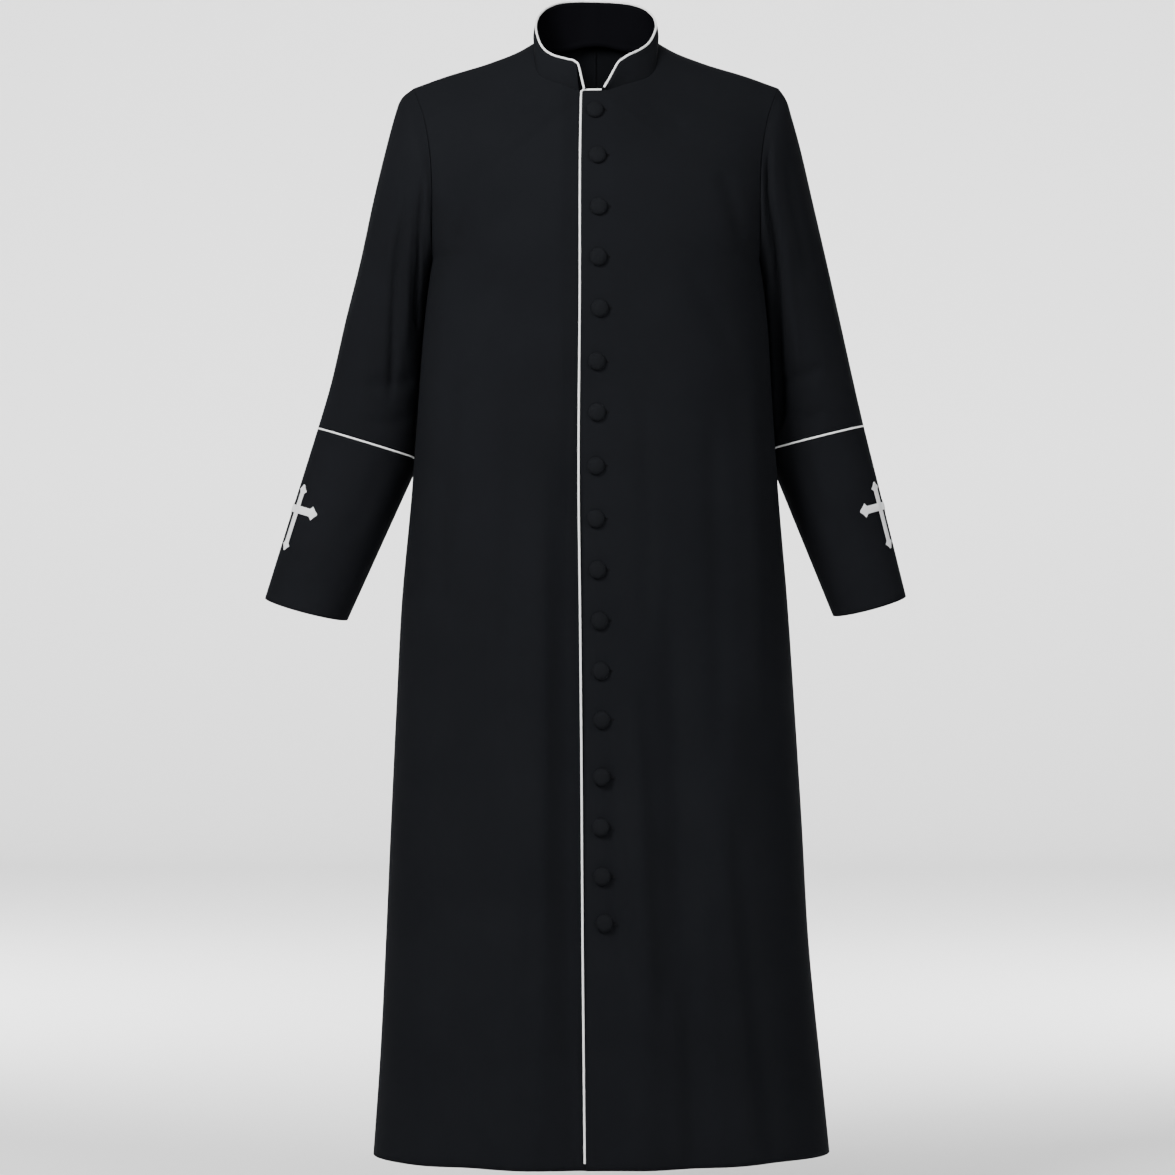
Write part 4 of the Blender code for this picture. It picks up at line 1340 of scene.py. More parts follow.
@dataclass
class BodyPanel(ClothPiece):
    """A panel of the robe's front or back, from the hem to the shoulder seam."""

    hand: Hand = Hand.LEFT
    face: Face = Face.FRONT
    part: Pair = (0.0, 1.0)
    columns: int = 78
    rows_between: int = 8
    samples: int = 90
    edge_steps: tuple[float, ...] = (0.0010, 0.0025, 0.0050)
    seam_fade: float = 0.030
    inside_drop: float = 0.02
    creases: tuple[Crease, ...] = ()

    def places(self) -> tuple[Array, Array]:
        """Turn and level of every point, evenly spaced along each row.

        Returns:
            The turns and the levels.
        """
        form = self.shop.form
        last = form.side_rows + form.arm_rows
        t = np.linspace(0, last, last * self.rows_between + 1)
        lines = list(zip(form.side_line(self.hand, t), form.middle_line(self.hand, self.face, t)))
        f = np.linspace(*self.part, self.samples)[None, :]
        turn, level = (a[:, None] + (b - a)[:, None] * f for a, b in lines)
        ends = np.array((0.0, *self.edge_steps))
        shares = []
        for row in run_lengths(form.body(self.hand, self.face, turn, level), 1):
            whole = row[-1]
            middle = np.linspace(ends[-1], whole - ends[-1], self.columns)[1:-1]
            spots = np.concatenate([ends, middle, whole - ends[::-1]])
            shares.append(np.interp(spots, row, f[0]))
        turn, level = (a[:, None] + (b - a)[:, None] * np.array(shares) for a, b in lines)
        return turn, level

    def build(self) -> Object:
        """Lay out the panel's points, crease it, seam it and close its wall.

        Returns:
            The finished panel.
        """
        form = self.shop.form
        turn, level = self.places()
        points = form.body(self.hand, self.face, turn, level,
                           form.lap_dip(self.hand, self.face, turn, level))
        middle = np.array([0, form.shoulder_shift_y, 0]) * np.ones_like(points)
        middle[..., 2] = points[..., 2] - self.inside_drop
        normals = grid_normals(points, middle)
        from_side = run_lengths(points, 1)
        if self.part[0] > 0:
            from_side = from_side + self.seam_fade
        from_top = run_lengths(points[::-1], 0)[::-1]
        fade = ease(from_side / self.seam_fade) * ease(from_top / self.seam_fade)
        lift = lifts(self.creases, points[..., 0], points[..., 2]) * fade
        points = points + normals * lift[..., None]
        normals = grid_normals(points, middle)
        normals[-1, :, 1] = 0
        if self.part[0] == 0:
            skirt = form.side_rows * self.rows_between
            normals[:skirt + 1, 0] = (self.hand.value, 0, 0)
        seams = [(slice(None), 0, 1)]
        if self.face is Face.BACK:
            seams.append((slice(None), -1, -2))
        normals = unit(normals)
        shift = np.zeros_like(points)
        for rows, column, beside in seams:
            inward = unit(points[rows, beside] - points[rows, column]) * self.seam_gap / 2
            shift[rows, column] += inward - normals[rows, column] * self.seam_sink
        down = unit(points[-2] - points[-1]) * self.seam_gap / 2
        shift[-1] += down - normals[-1] * self.seam_sink
        points = points + shift
        return self.finish(points, points - normals * self.wall, normals, False)


@dataclass
class Tube(ClothPiece):
    """What sleeves and cuffs share: rings of points round the arm."""

    hand: Hand = Hand.LEFT
    rings: int = 130
    around: int = 96
    cord_radius: float = 0.00118
    girth_radius: float = 0.060
    end_fade: float = 0.010
    tuck_clear: float = 0.0005
    creases: tuple[Crease, ...] = ()

    def tucked(self, points: Array, normals: Array) -> tuple[Array, Array]:
        """Carry the first ring on, as the seam's hidden turning inside the next piece.

        Args:
            points: Rings of points.
            normals: Outward directions.

        Returns:
            Both with one more ring in front.
        """
        up = unit(points[1] - points[0]) * self.tuck
        inside = points[0] - up - normals[0] * (self.wall + self.tuck_clear)
        return np.concatenate([inside[None], points]), np.concatenate([normals[:1], normals])

    def crease(self, points: Array, angle: Array) -> Array:
        """Lift the creases of a tube, laid out as metres around and along it.

        Args:
            points: Rings of points.
            angle: Angle of each point, 0 at the outer edge, turning to the front.

        Returns:
            The creased points.
        """
        along = run_lengths(points.mean(axis=1, keepdims=True), 0) * np.ones(angle.shape)
        girth = angle * self.girth_radius
        whole = 2 * math.pi * self.girth_radius
        lift = lifts(self.creases, girth, along) + lifts(self.creases, girth - whole, along)
        fade = ease(along / self.end_fade) * ease((along[-1:] - along) / self.end_fade)
        return points + tube_normals(points) * (lift * fade)[..., None]

    def lay(self, shares: Array) -> tuple[Array, Array]:
        """The share along and the angle of every point, for rings at some shares."""
        return tuple(np.meshgrid(shares, ring_angles(self.around), indexing="ij"))


@dataclass
class Sleeve(Tube):
    """A set-in sleeve from the armhole to the cuff's cord."""

    ring_bias: float = 1.25
    rest_clear: float = 0.0004
    cuff_probe: float = 0.1

    def build(self) -> Object:
        """Lay out the rings, crease them and close the wall.

        Returns:
            The finished piece.
        """
        form = self.shop.form
        s, angle = self.lay(form.sleeve_end * np.linspace(0, 1, self.rings) ** self.ring_bias)
        points = self.crease(form.sleeve(self.hand, s, angle), angle)
        mirror = self.hand.mirror
        points = form.push_clear(self.hand, points * mirror, self.rest_clear) * mirror
        normals = tube_normals(points)
        points[0] += unit(points[1] - points[0]) * self.seam_gap / 2 - normals[0] * self.seam_sink
        cuff = form.cuff(self.hand, np.full(self.around, self.cuff_probe), angle[0])
        down = unit(cuff - points[-1])
        points[-1] -= down * self.cord_radius
        points, normals = self.tucked(points, normals)
        return self.finish(points, points - normals * self.wall, normals, True)


@dataclass
class Cuff(Tube):
    """A deep cuff from just below its cord to its open end."""

    rings: int = 60

    def build(self) -> Object:
        """Lay out the rings, crease them and close the wall.

        Returns:
            The finished piece.
        """
        share, angle = self.lay(np.linspace(0, 1, self.rings))
        points = self.crease(self.shop.form.cuff(self.hand, share, angle), angle)
        normals = tube_normals(points)
        down = unit(points[1] - points[0])
        points[0] += down * self.cord_radius
        points, normals = self.tucked(points, normals)
        return self.finish(points, points - normals * self.wall, normals, True)


@dataclass
class Collar(ClothPiece):
    """A standing band, cut away to a notch in front."""

    cord_radius: float = 0.00135
    belly: float = 0.0015
    foot_drop: float = 0.0002
    foot_sink: float = 0.0021
    rows: int = 15
    front_columns: int = 56
    back_columns: int = 40
    start_degrees: Pair = (3.14, 3.35)

    def foot(self) -> tuple[Array, Array]:
        """The neckline from the left end round the back to the right end.

        Returns:
            The points, and the hand's sign at each.
        """
        form = self.shop.form
        line = []
        signs = []
        for hand, first in zip(Hand, self.start_degrees):
            front = np.linspace(first, 90, self.front_columns)
            back = np.linspace(90, 0, self.back_columns)[1:]
            half = []
            for face, angle in ((Face.FRONT, front), (Face.BACK, back)):
                start = form.collar_start(hand) if face is Face.FRONT else 0.0
                x, level = form.neck_level(face, start, angle)
                place = hand, face, form.turn_at(hand, level, x), level
                half.append(form.body(*place, form.lap_dip(*place)))
            half = np.concatenate(half)
            line.append(half if hand is Hand.LEFT else half[::-1][1:])
            signs.append(np.full(len(line[-1]), hand.value))
        return np.concatenate(line), np.concatenate(signs)

    def frame(self) -> tuple[Array, Array, Array]:
        """Foot, top and outward direction of every column.

        Returns:
            The three sets.
        """
        form = self.shop.form
        base, signs = self.foot()
        angle = np.degrees(np.arctan2(np.abs(base[:, 0]), -base[:, 1]))
        left = form.rim_point(Hand.LEFT, angle)
        right = form.rim_point(Hand.RIGHT, angle)
        rim = np.where((signs > 0)[:, None], left, right)
        turn = np.radians(angle)
        outward = stack(signs * np.sin(turn), -np.cos(turn), np.zeros_like(turn))
        down = unit(np.cross(np.gradient(rim, axis=0), outward))
        down = np.where(down[:, 2:] > 0, -down, down)
        foot = base - np.array([0, 0, self.foot_drop])
        top = rim + down * self.cord_radius + outward * self.wall / 2
        return foot, top, outward

    def build(self) -> Object:
        """Raise the band from the neckline to just under its cord.

        Returns:
            The finished collar.
        """
        foot, top, outward = self.frame()
        f = np.linspace(0, 1, self.rows)[:, None, None]
        points = foot + (top - foot) * f + outward * self.belly * np.sin(math.pi * f)
        hidden = foot - np.array([0, 0, self.tuck]) - outward * self.foot_sink
        points = np.concatenate([hidden[None], points])
        normals = outward * np.ones_like(points)
        thing = self.finish(points, points - normals * self.wall, normals, False)
        # The faces inside the band take the near-black material: painted shade on the collar's
        # inside
        thing.data.materials.append(self.shop.facing)
        inside = [face.center.xy.dot(face.normal.xy) < 0 for face in thing.data.polygons]
        thing.data.polygons.foreach_set("material_index", np.array(inside, dtype=np.int32))
        return thing


@dataclass
class Piping:
    """The white cords of the front edge, the collar's rim and the cuff seams."""

    shop: Workshop
    radius: float = 0.00135
    cuff_radius: float = 0.00118
    seam_gap: float = 0.0003
    hem_short: float = 0.009
    collar_short: float = 0.0022
    corner: float = 0.0005
    body_wall: float = 0.0016
    cuff_sink: float = 0.0004
    sides: int = 12
    edge_points: int = 340
    corner_step: int = 15
    top_points: int = 8
    rim_points: int = 150
    cuff_points: int = 96
    probe: float = 0.004
    cuff_probe: float = 0.01
    rim_start: Pair = (8.0, 12.2)

    def sew(self, name: str, path: Array, radius: float, closed: bool) -> Object:
        """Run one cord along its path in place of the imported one.

        Args:
            name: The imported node.
            path: Its middle.
            radius: Its radius.
            closed: Whether it is a ring.

        Returns:
            The finished cord.
        """
        seed = path_mesh(name + "_path", [path], closed)
        thing = self.shop.threads.grow(name + "_dressed", seed, {
            "Radius": radius, "Sides": self.sides, "Material": self.shop.cord})
        return self.shop.place(thing, "piping", (name,))

    def edge_frame(self, x: Array, level: Array) -> tuple[Array, Array]:
        """Middle of the left front's wall at its edge, and the way up along the cloth.

        Args:
            x: Sideways place of each point.
            level: Level of each place.

        Returns:
            The points and the directions.
        """
        form = self.shop.form
        turn = form.turn_at(Hand.LEFT, level, x)
        here = form.body(Hand.LEFT, Face.FRONT, turn, level)
        below = form.body(Hand.LEFT, Face.FRONT, turn, level - self.probe)
        beside = form.body(Hand.LEFT, Face.FRONT, turn + self.probe, level)
        up = unit(here - below)
        normal = facing_front(unit(np.cross(beside - here, up)))
        return here - normal * self.body_wall / 2, up

    def front(self) -> Object:
        """The cord up the left front's edge, round its top corner and along its top.

        Returns:
            The finished cord.
        """
        form = self.shop.form
        offset = self.seam_gap + self.radius
        top = float(form.top_edge(Hand.LEFT, np.array(0.0))[1])
        level = np.linspace(form.hem_z + self.hem_short, top - self.corner, self.edge_points)
        points = self.edge_frame(form.edge_x(Hand.LEFT, level), level)[0]
        points = points - np.array([offset, 0, 0])
        corner_x = float(form.edge_x(Hand.LEFT, np.array(form.edge_top_z)))
        angle = np.radians(np.arange(self.corner_step, 90, self.corner_step))
        at, up = self.edge_frame(np.full_like(angle, corner_x), np.full_like(angle, top))
        way = up * np.sin(angle)[:, None] - stack(np.cos(angle), 0 * angle, 0 * angle)
        round_points = at + way * offset
        reach = form.left_collar_end_x - corner_x
        step = np.linspace(self.corner / reach, 1 - self.collar_short / reach, self.top_points)
        at, up = self.edge_frame(*form.top_edge(Hand.LEFT, step))
        path = np.concatenate([points, round_points, at + up * offset])
        return self.sew("front_piping", path, self.radius, False)

    def rim(self) -> Object:
        """The cord down both ends of the collar and round its rim.

        Returns:
            The finished cord.
        """
        form = self.shop.form
        start, end = self.rim_start
        left = form.rim_point(Hand.LEFT, np.linspace(start, 180, self.rim_points))
        right = form.rim_point(Hand.RIGHT, np.linspace(180, end, self.rim_points)[1:])
        return self.sew("collar_piping", np.concatenate([left, right]), self.radius, False)

    def cuff(self, hand: Hand) -> Object:
        """The cord in the seam between a sleeve and its cuff.

        Args:
            hand: The sleeve's hand.

        Returns:
            The finished cord.
        """
        form = self.shop.form
        angle = ring_angles(self.cuff_points)
        rings = np.stack([form.cuff(hand, np.full_like(angle, share), angle)
                          for share in (0.0, self.cuff_probe)])
        path = rings[0] - tube_normals(rings)[0] * self.cuff_sink
        return self.sew("cuff_piping_" + hand.word, path, self.cuff_radius, True)

    def build(self) -> None:
        """Sew every cord."""
        self.front()
        self.rim()
        for hand in Hand:
            self.cuff(hand)


@dataclass
class CoveredButtons:
    """Seventeen domed buttons covered in the robe's cloth."""

    shop: Workshop
    radius: float = 0.0110
    rise: float = 0.0062
    seat: float = 0.0002
    around: int = 40
    quarter: int = 4
    puckers: int = 20
    pucker_depth: float = 0.00012
    pucker_from: float = 0.85
    profile: Rows = (
        (0.000, 1.000), (0.180, 0.990), (0.360, 0.955), (0.530, 0.895), (0.680, 0.805),
        (0.800, 0.700), (0.890, 0.575), (0.950, 0.440), (0.985, 0.300), (1.000, 0.170),
        (0.990, 0.080), (0.950, 0.030), (0.870, 0.010),
    )
    places: Rows = (
        (-0.0013, -0.0894), (0.0018, -0.1472), (0.0034, -0.2119), (0.0027, -0.2739),
        (0.0046, -0.3367), (0.0010, -0.4019), (0.0010, -0.4639), (-0.0002, -0.5294),
        (-0.0002, -0.5941), (0.0017, -0.6566), (0.0045, -0.7187), (0.0057, -0.7799),
        (0.0069, -0.8394), (0.0069, -0.9089), (0.0058, -0.9699), (0.0074, -1.0294),
        (0.0103, -1.0864),
    )

    def seat_at(self, x: float, z: float) -> tuple[Vector, Vector]:
        """Where a button rests on the left front and which way it faces.

        Args:
            x: Sideways place of its middle.
            z: Height of its middle.

        Returns:
            The middle of its underside and its direction.
        """
        form = self.shop.form
        angle = ring_angles(4 * self.quarter)
        ring = form.seen_from_front(x + self.radius * np.cos(angle),
                                    z + self.radius * np.sin(angle))
        middle = form.seen_from_front(np.array(x), np.array(z))
        east, north, west, south = ring[::self.quarter]
        normal = unit(np.cross(east - west, north - south))
        lift = max(0.0, float(((ring - middle) @ normal).max())) + self.seat
        return Vector(middle + normal * lift), Vector(normal)

    def build_one(self, number: int, x: float, z: float) -> Object:
        """Turn one button's profile and set it on the front.

        Args:
            number: Its place from the collar down.
            x: Sideways place of its middle.
            z: Height of its middle.

        Returns:
            The finished button.
        """
        middle, normal = self.seat_at(x, z)
        turn = np.array(Vector((0, 0, 1)).rotation_difference(normal).to_matrix())
        angle = ring_angles(self.around)
        pucker = self.pucker_depth * (1 + np.cos(self.puckers * angle)) / 2
        points = [(0.0, 0.0, self.rise)]
        for share, height in self.profile[1:]:
            rim = ease(np.array((share - self.pucker_from) / (1 - self.pucker_from)))
            reach = self.radius * share - pucker * rim
            points += stack(reach * np.cos(angle), reach * np.sin(angle),
                            height * self.rise).tolist()
        points.append((0.0, 0.0, 0.0))
        n = self.around
        faces = [(0, 1 + k, 1 + (k + 1) % n) for k in range(n)]
        for r in range(len(self.profile) - 2):
            a, b = 1 + r * n, 1 + (r + 1) * n
            faces += [(a + k, b + k, b + (k + 1) % n, a + (k + 1) % n) for k in range(n)]
        last = 1 + (len(self.profile) - 2) * n
        faces += [(len(points) - 1, last + (k + 1) % n, last + k) for k in range(n)]
        flat = np.array(points)
        placed = flat @ turn.T + np.array(middle)
        name = "button_%02d" % number
        mesh = bpy.data.meshes.new(name + "_dressed")
        mesh.from_pydata(placed.tolist(), [], faces)
        layer = mesh.uv_layers.new(name="weave")
        corners = np.zeros(len(mesh.loops), dtype=np.int32)
        mesh.loops.foreach_get("vertex_index", corners)
        layer.uv.foreach_set("vector", flat[corners][:, :2].astype(np.float32).ravel())
        mesh.polygons.foreach_set("use_smooth", np.ones(len(mesh.polygons), dtype=bool))
        mesh.materials.append(self.shop.button_cloth)
        return self.shop.place(put(name + "_dressed", mesh), "button_cloth", (name,))

    def build(self) -> None:
        """Set every button."""
        for number, (x, z) in enumerate(self.places, 1):
            self.build_one(number, x, z)


@dataclass
class SatinCross:
    """An embroidered cross with barbed ends, wrapped over a cuff's outer edge."""

    shop: Workshop
    hand: Hand
    share: float = 0.4685
    turn_degrees: float = 28.0
    bar_half: float = 0.0047
    barb_half: float = 0.0088
    point_length: float = 0.0072
    point_middle_half: float = 0.0042
    tip_half: float = 0.0007
    neck_length: float = 0.0034
    neck_at: float = 0.7
    neck_share: float = 0.82
    gap: float = 0.00030
    pad_height: float = 0.0009
    crown: float = 0.0005
    thread_radius: float = 0.00024
    pitch: float = 0.00040
    slant: float = 0.12
    thread_ends: float = 0.7
    thread_sides: int = 6
    thread_points: int = 7
    pad_points: int = 9
    pad_share: float = 0.96
    pad_sink: float = 0.6
    crossing_share: float = 0.9
    probe: float = 0.01
    arms: Rows = ((0.0320, 0.0535), (0.0340, 0.0340))

    def on_cuff(self, across: Array, along: Array, height: Array) -> Array:
        """Points above the cuff, from the cross's middle.

        Args:
            across: Metres round the cuff.
            along: Metres towards its end.
            height: Metres above it.

        Returns:
            The points.
        """
        form = self.shop.form
        turn = math.radians(self.turn_degrees)
        step = self.probe
        spot = form.cuff(self.hand, np.array([self.share, self.share, self.share + step]),
                         np.array([turn, turn + step, turn]))
        per_turn = np.linalg.norm(spot[1] - spot[0]) / step
        per_share = np.linalg.norm(spot[2] - spot[0]) / step
        share = self.share + along / per_share
        angle = turn + across / per_turn
        here = form.cuff(self.hand, share, angle)
        around = form.cuff(self.hand, share, angle + step) - here
        down = form.cuff(self.hand, share + step, angle) - here
        normal = unit(np.cross(around, down))
        middle = (form.cuff(self.hand, share, angle + math.pi) + here) / 2
        facing = np.sum(normal * (here - middle), axis=-1, keepdims=True)
        return here + np.where(facing < 0, -normal, normal) * np.asarray(height)[..., None]

    def half_at(self, reach: Array, length: float) -> Array:
        """Half width of an arm at a distance from the crossing.

        Args:
            reach: Distances from the crossing.
            length: The arm's length.

        Returns:
            The half width at each distance.
        """
        bar_end = length - self.point_length - self.neck_length
        spots = (0, bar_end, bar_end + self.neck_length * self.neck_at,
                 bar_end + self.neck_length, length - self.point_length / 2, length)
        halves = (self.bar_half, self.bar_half, self.barb_half * self.neck_share,
                  self.barb_half, self.point_middle_half, self.tip_half)
        return np.interp(reach, spots, halves)

    def bar(self, upright: bool, stations: Array, shares: Array,
            height: Array) -> Array:
        """Points over one bar.

        Args:
            upright: True for the long bar, False for the one across it.
            stations: Distances from the crossing.
            shares: Places across the bar, -1 to 1.
            height: Height above the cuff at each point.

        Returns:
            The points, stations by shares.
        """
        before, after = self.arms[0 if upright else 1]
        half = np.where(stations < 0, self.half_at(-stations, before),
                        self.half_at(stations, after))
        side = shares * half[:, None]
        reach = np.clip(stations[:, None] + side * self.slant, -before, after)
        return self.on_cuff(side, reach, height) if upright else self.on_cuff(reach, side, height)

    def build(self) -> Object:
        """Lay the pads, wind satin stitches over them and join both.

        Returns:
            The finished cross.
        """
        shares = np.linspace(-1, 1, self.pad_points)[None, :]
        across = np.linspace(-1, 1, self.thread_points)[None, :]
        pads = []
        winds = []
        for upright in (True, False):
            before, after = self.arms[0 if upright else 1]
            drop = 0.0 if upright else self.thread_radius
            stations = np.arange(-before + self.pitch / 2, after, self.pitch)
            every = np.ones((len(stations), 1))
            top = self.crowned(shares) * every - drop - self.thread_radius * self.pad_sink
            outer = self.bar(upright, stations, shares * self.pad_share, top)
            inner = self.bar(upright, stations, shares * self.pad_share,
                             np.full_like(top, self.gap))
            pads.append(wall_mesh("pad", outer, inner, outer - inner))
            height = np.where(np.abs(across) < 1, self.crowned(across),
                              self.gap + self.thread_radius) * every - drop
            keep = upright | (np.abs(stations) > self.bar_half * self.crossing_share)
            winds += list(self.bar(upright, stations[keep], (across * every)[keep], height[keep]))
        name = "cross_" + self.hand.word
        thick = np.ones(self.thread_points)
        thick[[0, -1]] = self.thread_ends
        paths = path_mesh(name + "_path", winds, thick=[thick] * len(winds))
        thing = self.shop.threads.grow(name + "_dressed", paths, {
            "Radius": self.thread_radius, "Sides": self.thread_sides,
            "Material": self.shop.satin})
        for pad in pads:
            pad.materials.append(self.shop.satin)
        self.join(thing, pads)
        return self.shop.place(thing, "cross", (name,))

    def crowned(self, shares: Array) -> Array:
        """Height of the padding at places from edge to edge, -1 to 1."""
        return self.pad_height + self.crown * (1 - shares ** 2)

    @staticmethod
    def join(thing: Object, meshes: list[Mesh]) -> None:
        """Add meshes of the same material to a finished piece.

        Args:
            thing: The piece.
            meshes: What joins it.
        """
        both = [thing, *(put(mesh.name, mesh) for mesh in meshes)]
        with bpy.context.temp_override(active_object=thing, selected_editable_objects=both):
            bpy.ops.object.join()


@dataclass(frozen=True)
class Stitch:
    """How far apart stitches lie, and the size of one along, across and above its path."""

    pitch: float
    along: float
    across: float
    height: float


@dataclass
class Sewing:
    """Rows of stitches beside the cords and seams, and the worked buttonholes."""

    shop: Workshop
    buttons: CoveredButtons
    collar: Collar
    plain: Stitch = Stitch(0.0031, 0.0024, 0.00038, 0.00038)
    worked: Stitch = Stitch(0.00055, 0.0005, 0.0019, 0.0007)
    unevenness: float = 0.08
    beside: float = 0.0018
    above_hem: float = 0.012
    edge_top: float = -0.066
    edge_points: int = 320
    ring_points: int = 96
    cuff_rows: Pair = (0.0155, 0.985)
    cuff_probe: float = 0.004
    above_cuff: Pair = (0.09, 0.07)
    collar_rows: Pair = (0.07, 0.94)
    hole_from: float = -0.004
    hole_to: float = 0.0145
    hole_half: float = 0.0009
    hole_points: int = 24
    probe: float = 0.002

    def row(self, name: str, paths: list[Array], normals: list[Array],
            stitch: Stitch, seed: int, closed: bool = False) -> Object:
        """Sew one row along each path.

        Args:
            name: Name of the piece.
            paths: Points on the cloth.
            normals: Outward directions there.
            stitch: Spacing and size of the stitches.
            seed: Seed of the slight unevenness.
            closed: Whether each path is a ring.

        Returns:
            The finished stitches.
        """
        mesh = path_mesh(name + "_path", paths, closed, normals)
        thing = self.shop.stitches.grow(name, mesh, {
            "Pitch": stitch.pitch, "Stitch Along": stitch.along, "Stitch Across": stitch.across,
            "Stitch Height": stitch.height, "Unevenness": self.unevenness, "Seed": seed,
            "Material": self.shop.black_thread})
        return self.shop.place(thing, "cloth")

    def on_front(self, x: Array, z: Array) -> tuple[Array, Array]:
        """A path on the left front, seen at x and z, and its outward directions.

        Args:
            x: Sideways place of each point.
            z: Height of each place.

        Returns:
            The points and the directions.
        """
        form = self.shop.form
        here = form.seen_from_front(x, z)
        right = form.seen_from_front(x + self.probe, z) - here
        up = form.seen_from_front(x, z + self.probe) - here
        return here, facing_front(unit(np.cross(right, up)))

    def edge(self) -> None:
        """Sew the row beside the front edge's cord."""
        form = self.shop.form
        z = np.linspace(form.hem_z + self.above_hem, self.edge_top, self.edge_points)
        path, normal = self.on_front(form.edge_x(Hand.LEFT, z) + self.beside, z)
        self.row("edge_stitches", [path], [normal], self.plain, 3)

    def sleeves(self) -> None:
        """Sew the rows round both cuffs and above their cords."""
        form = self.shop.form
        angle = ring_angles(self.ring_points)
        paths, normals = [], []
        for hand in Hand:
            for share in self.cuff_rows:
                rings = np.stack([form.cuff(hand, np.full_like(angle, share + k), angle)
                                  for k in (-self.cuff_probe, self.cuff_probe)])
                paths.append(rings.mean(axis=0))
                normals.append(tube_normals(rings)[0])
            rings = np.stack([form.sleeve(hand, np.full_like(angle, form.sleeve_end - k), angle)
                              for k in self.above_cuff])
            paths.append(rings[0])
            normals.append(tube_normals(rings)[0])
        self.row("sleeve_stitches", paths, normals, self.plain, 5, closed=True)

    def neckband(self) -> None:
        """Sew the rows at the collar's foot and under its rim."""
        foot, top, outward = self.collar.frame()
        belly = outward * self.collar.belly
        paths = [foot + (top - foot) * f + belly * math.sin(math.pi * f) for f in self.collar_rows]
        self.row("collar_stitches", paths, [outward, outward], self.plain, 7)

    def holes(self) -> None:
        """Work both lips of every buttonhole."""
        paths, normals = [], []
        run = np.linspace(self.hole_from, self.hole_to, self.hole_points)
        for x, z in self.buttons.places:
            for side in (-1, 1):
                path, normal = self.on_front(x + run, np.full_like(run, z + side * self.hole_half))
                paths.append(path)
                normals.append(normal)
        self.row("buttonhole_stitches", paths, normals, self.worked, 11)

    def build(self) -> None:
        """Sew the edge, the cuffs, the collar and the buttonholes."""
        self.edge()
        self.sleeves()
        self.neckband()
        self.holes()


@dataclass(frozen=True)
class Lamp:
    """One soft rectangular light, with its power in watts."""

    name: str
    place: Triple
    aim: Triple
    size: Pair
    power: float

    def build(self) -> None:
        """Hang the light and turn it to the point that it faces."""
        data = bpy.data.lights.new(self.name, "AREA")
        data.shape = "RECTANGLE"
        data.size, data.size_y = self.size
        data.energy = self.power
        thing = put(self.name, data)
        thing.location = self.place
        way = Vector(self.aim) - Vector(self.place)
        thing.rotation_euler = way.to_track_quat("-Z", "Y").to_euler()


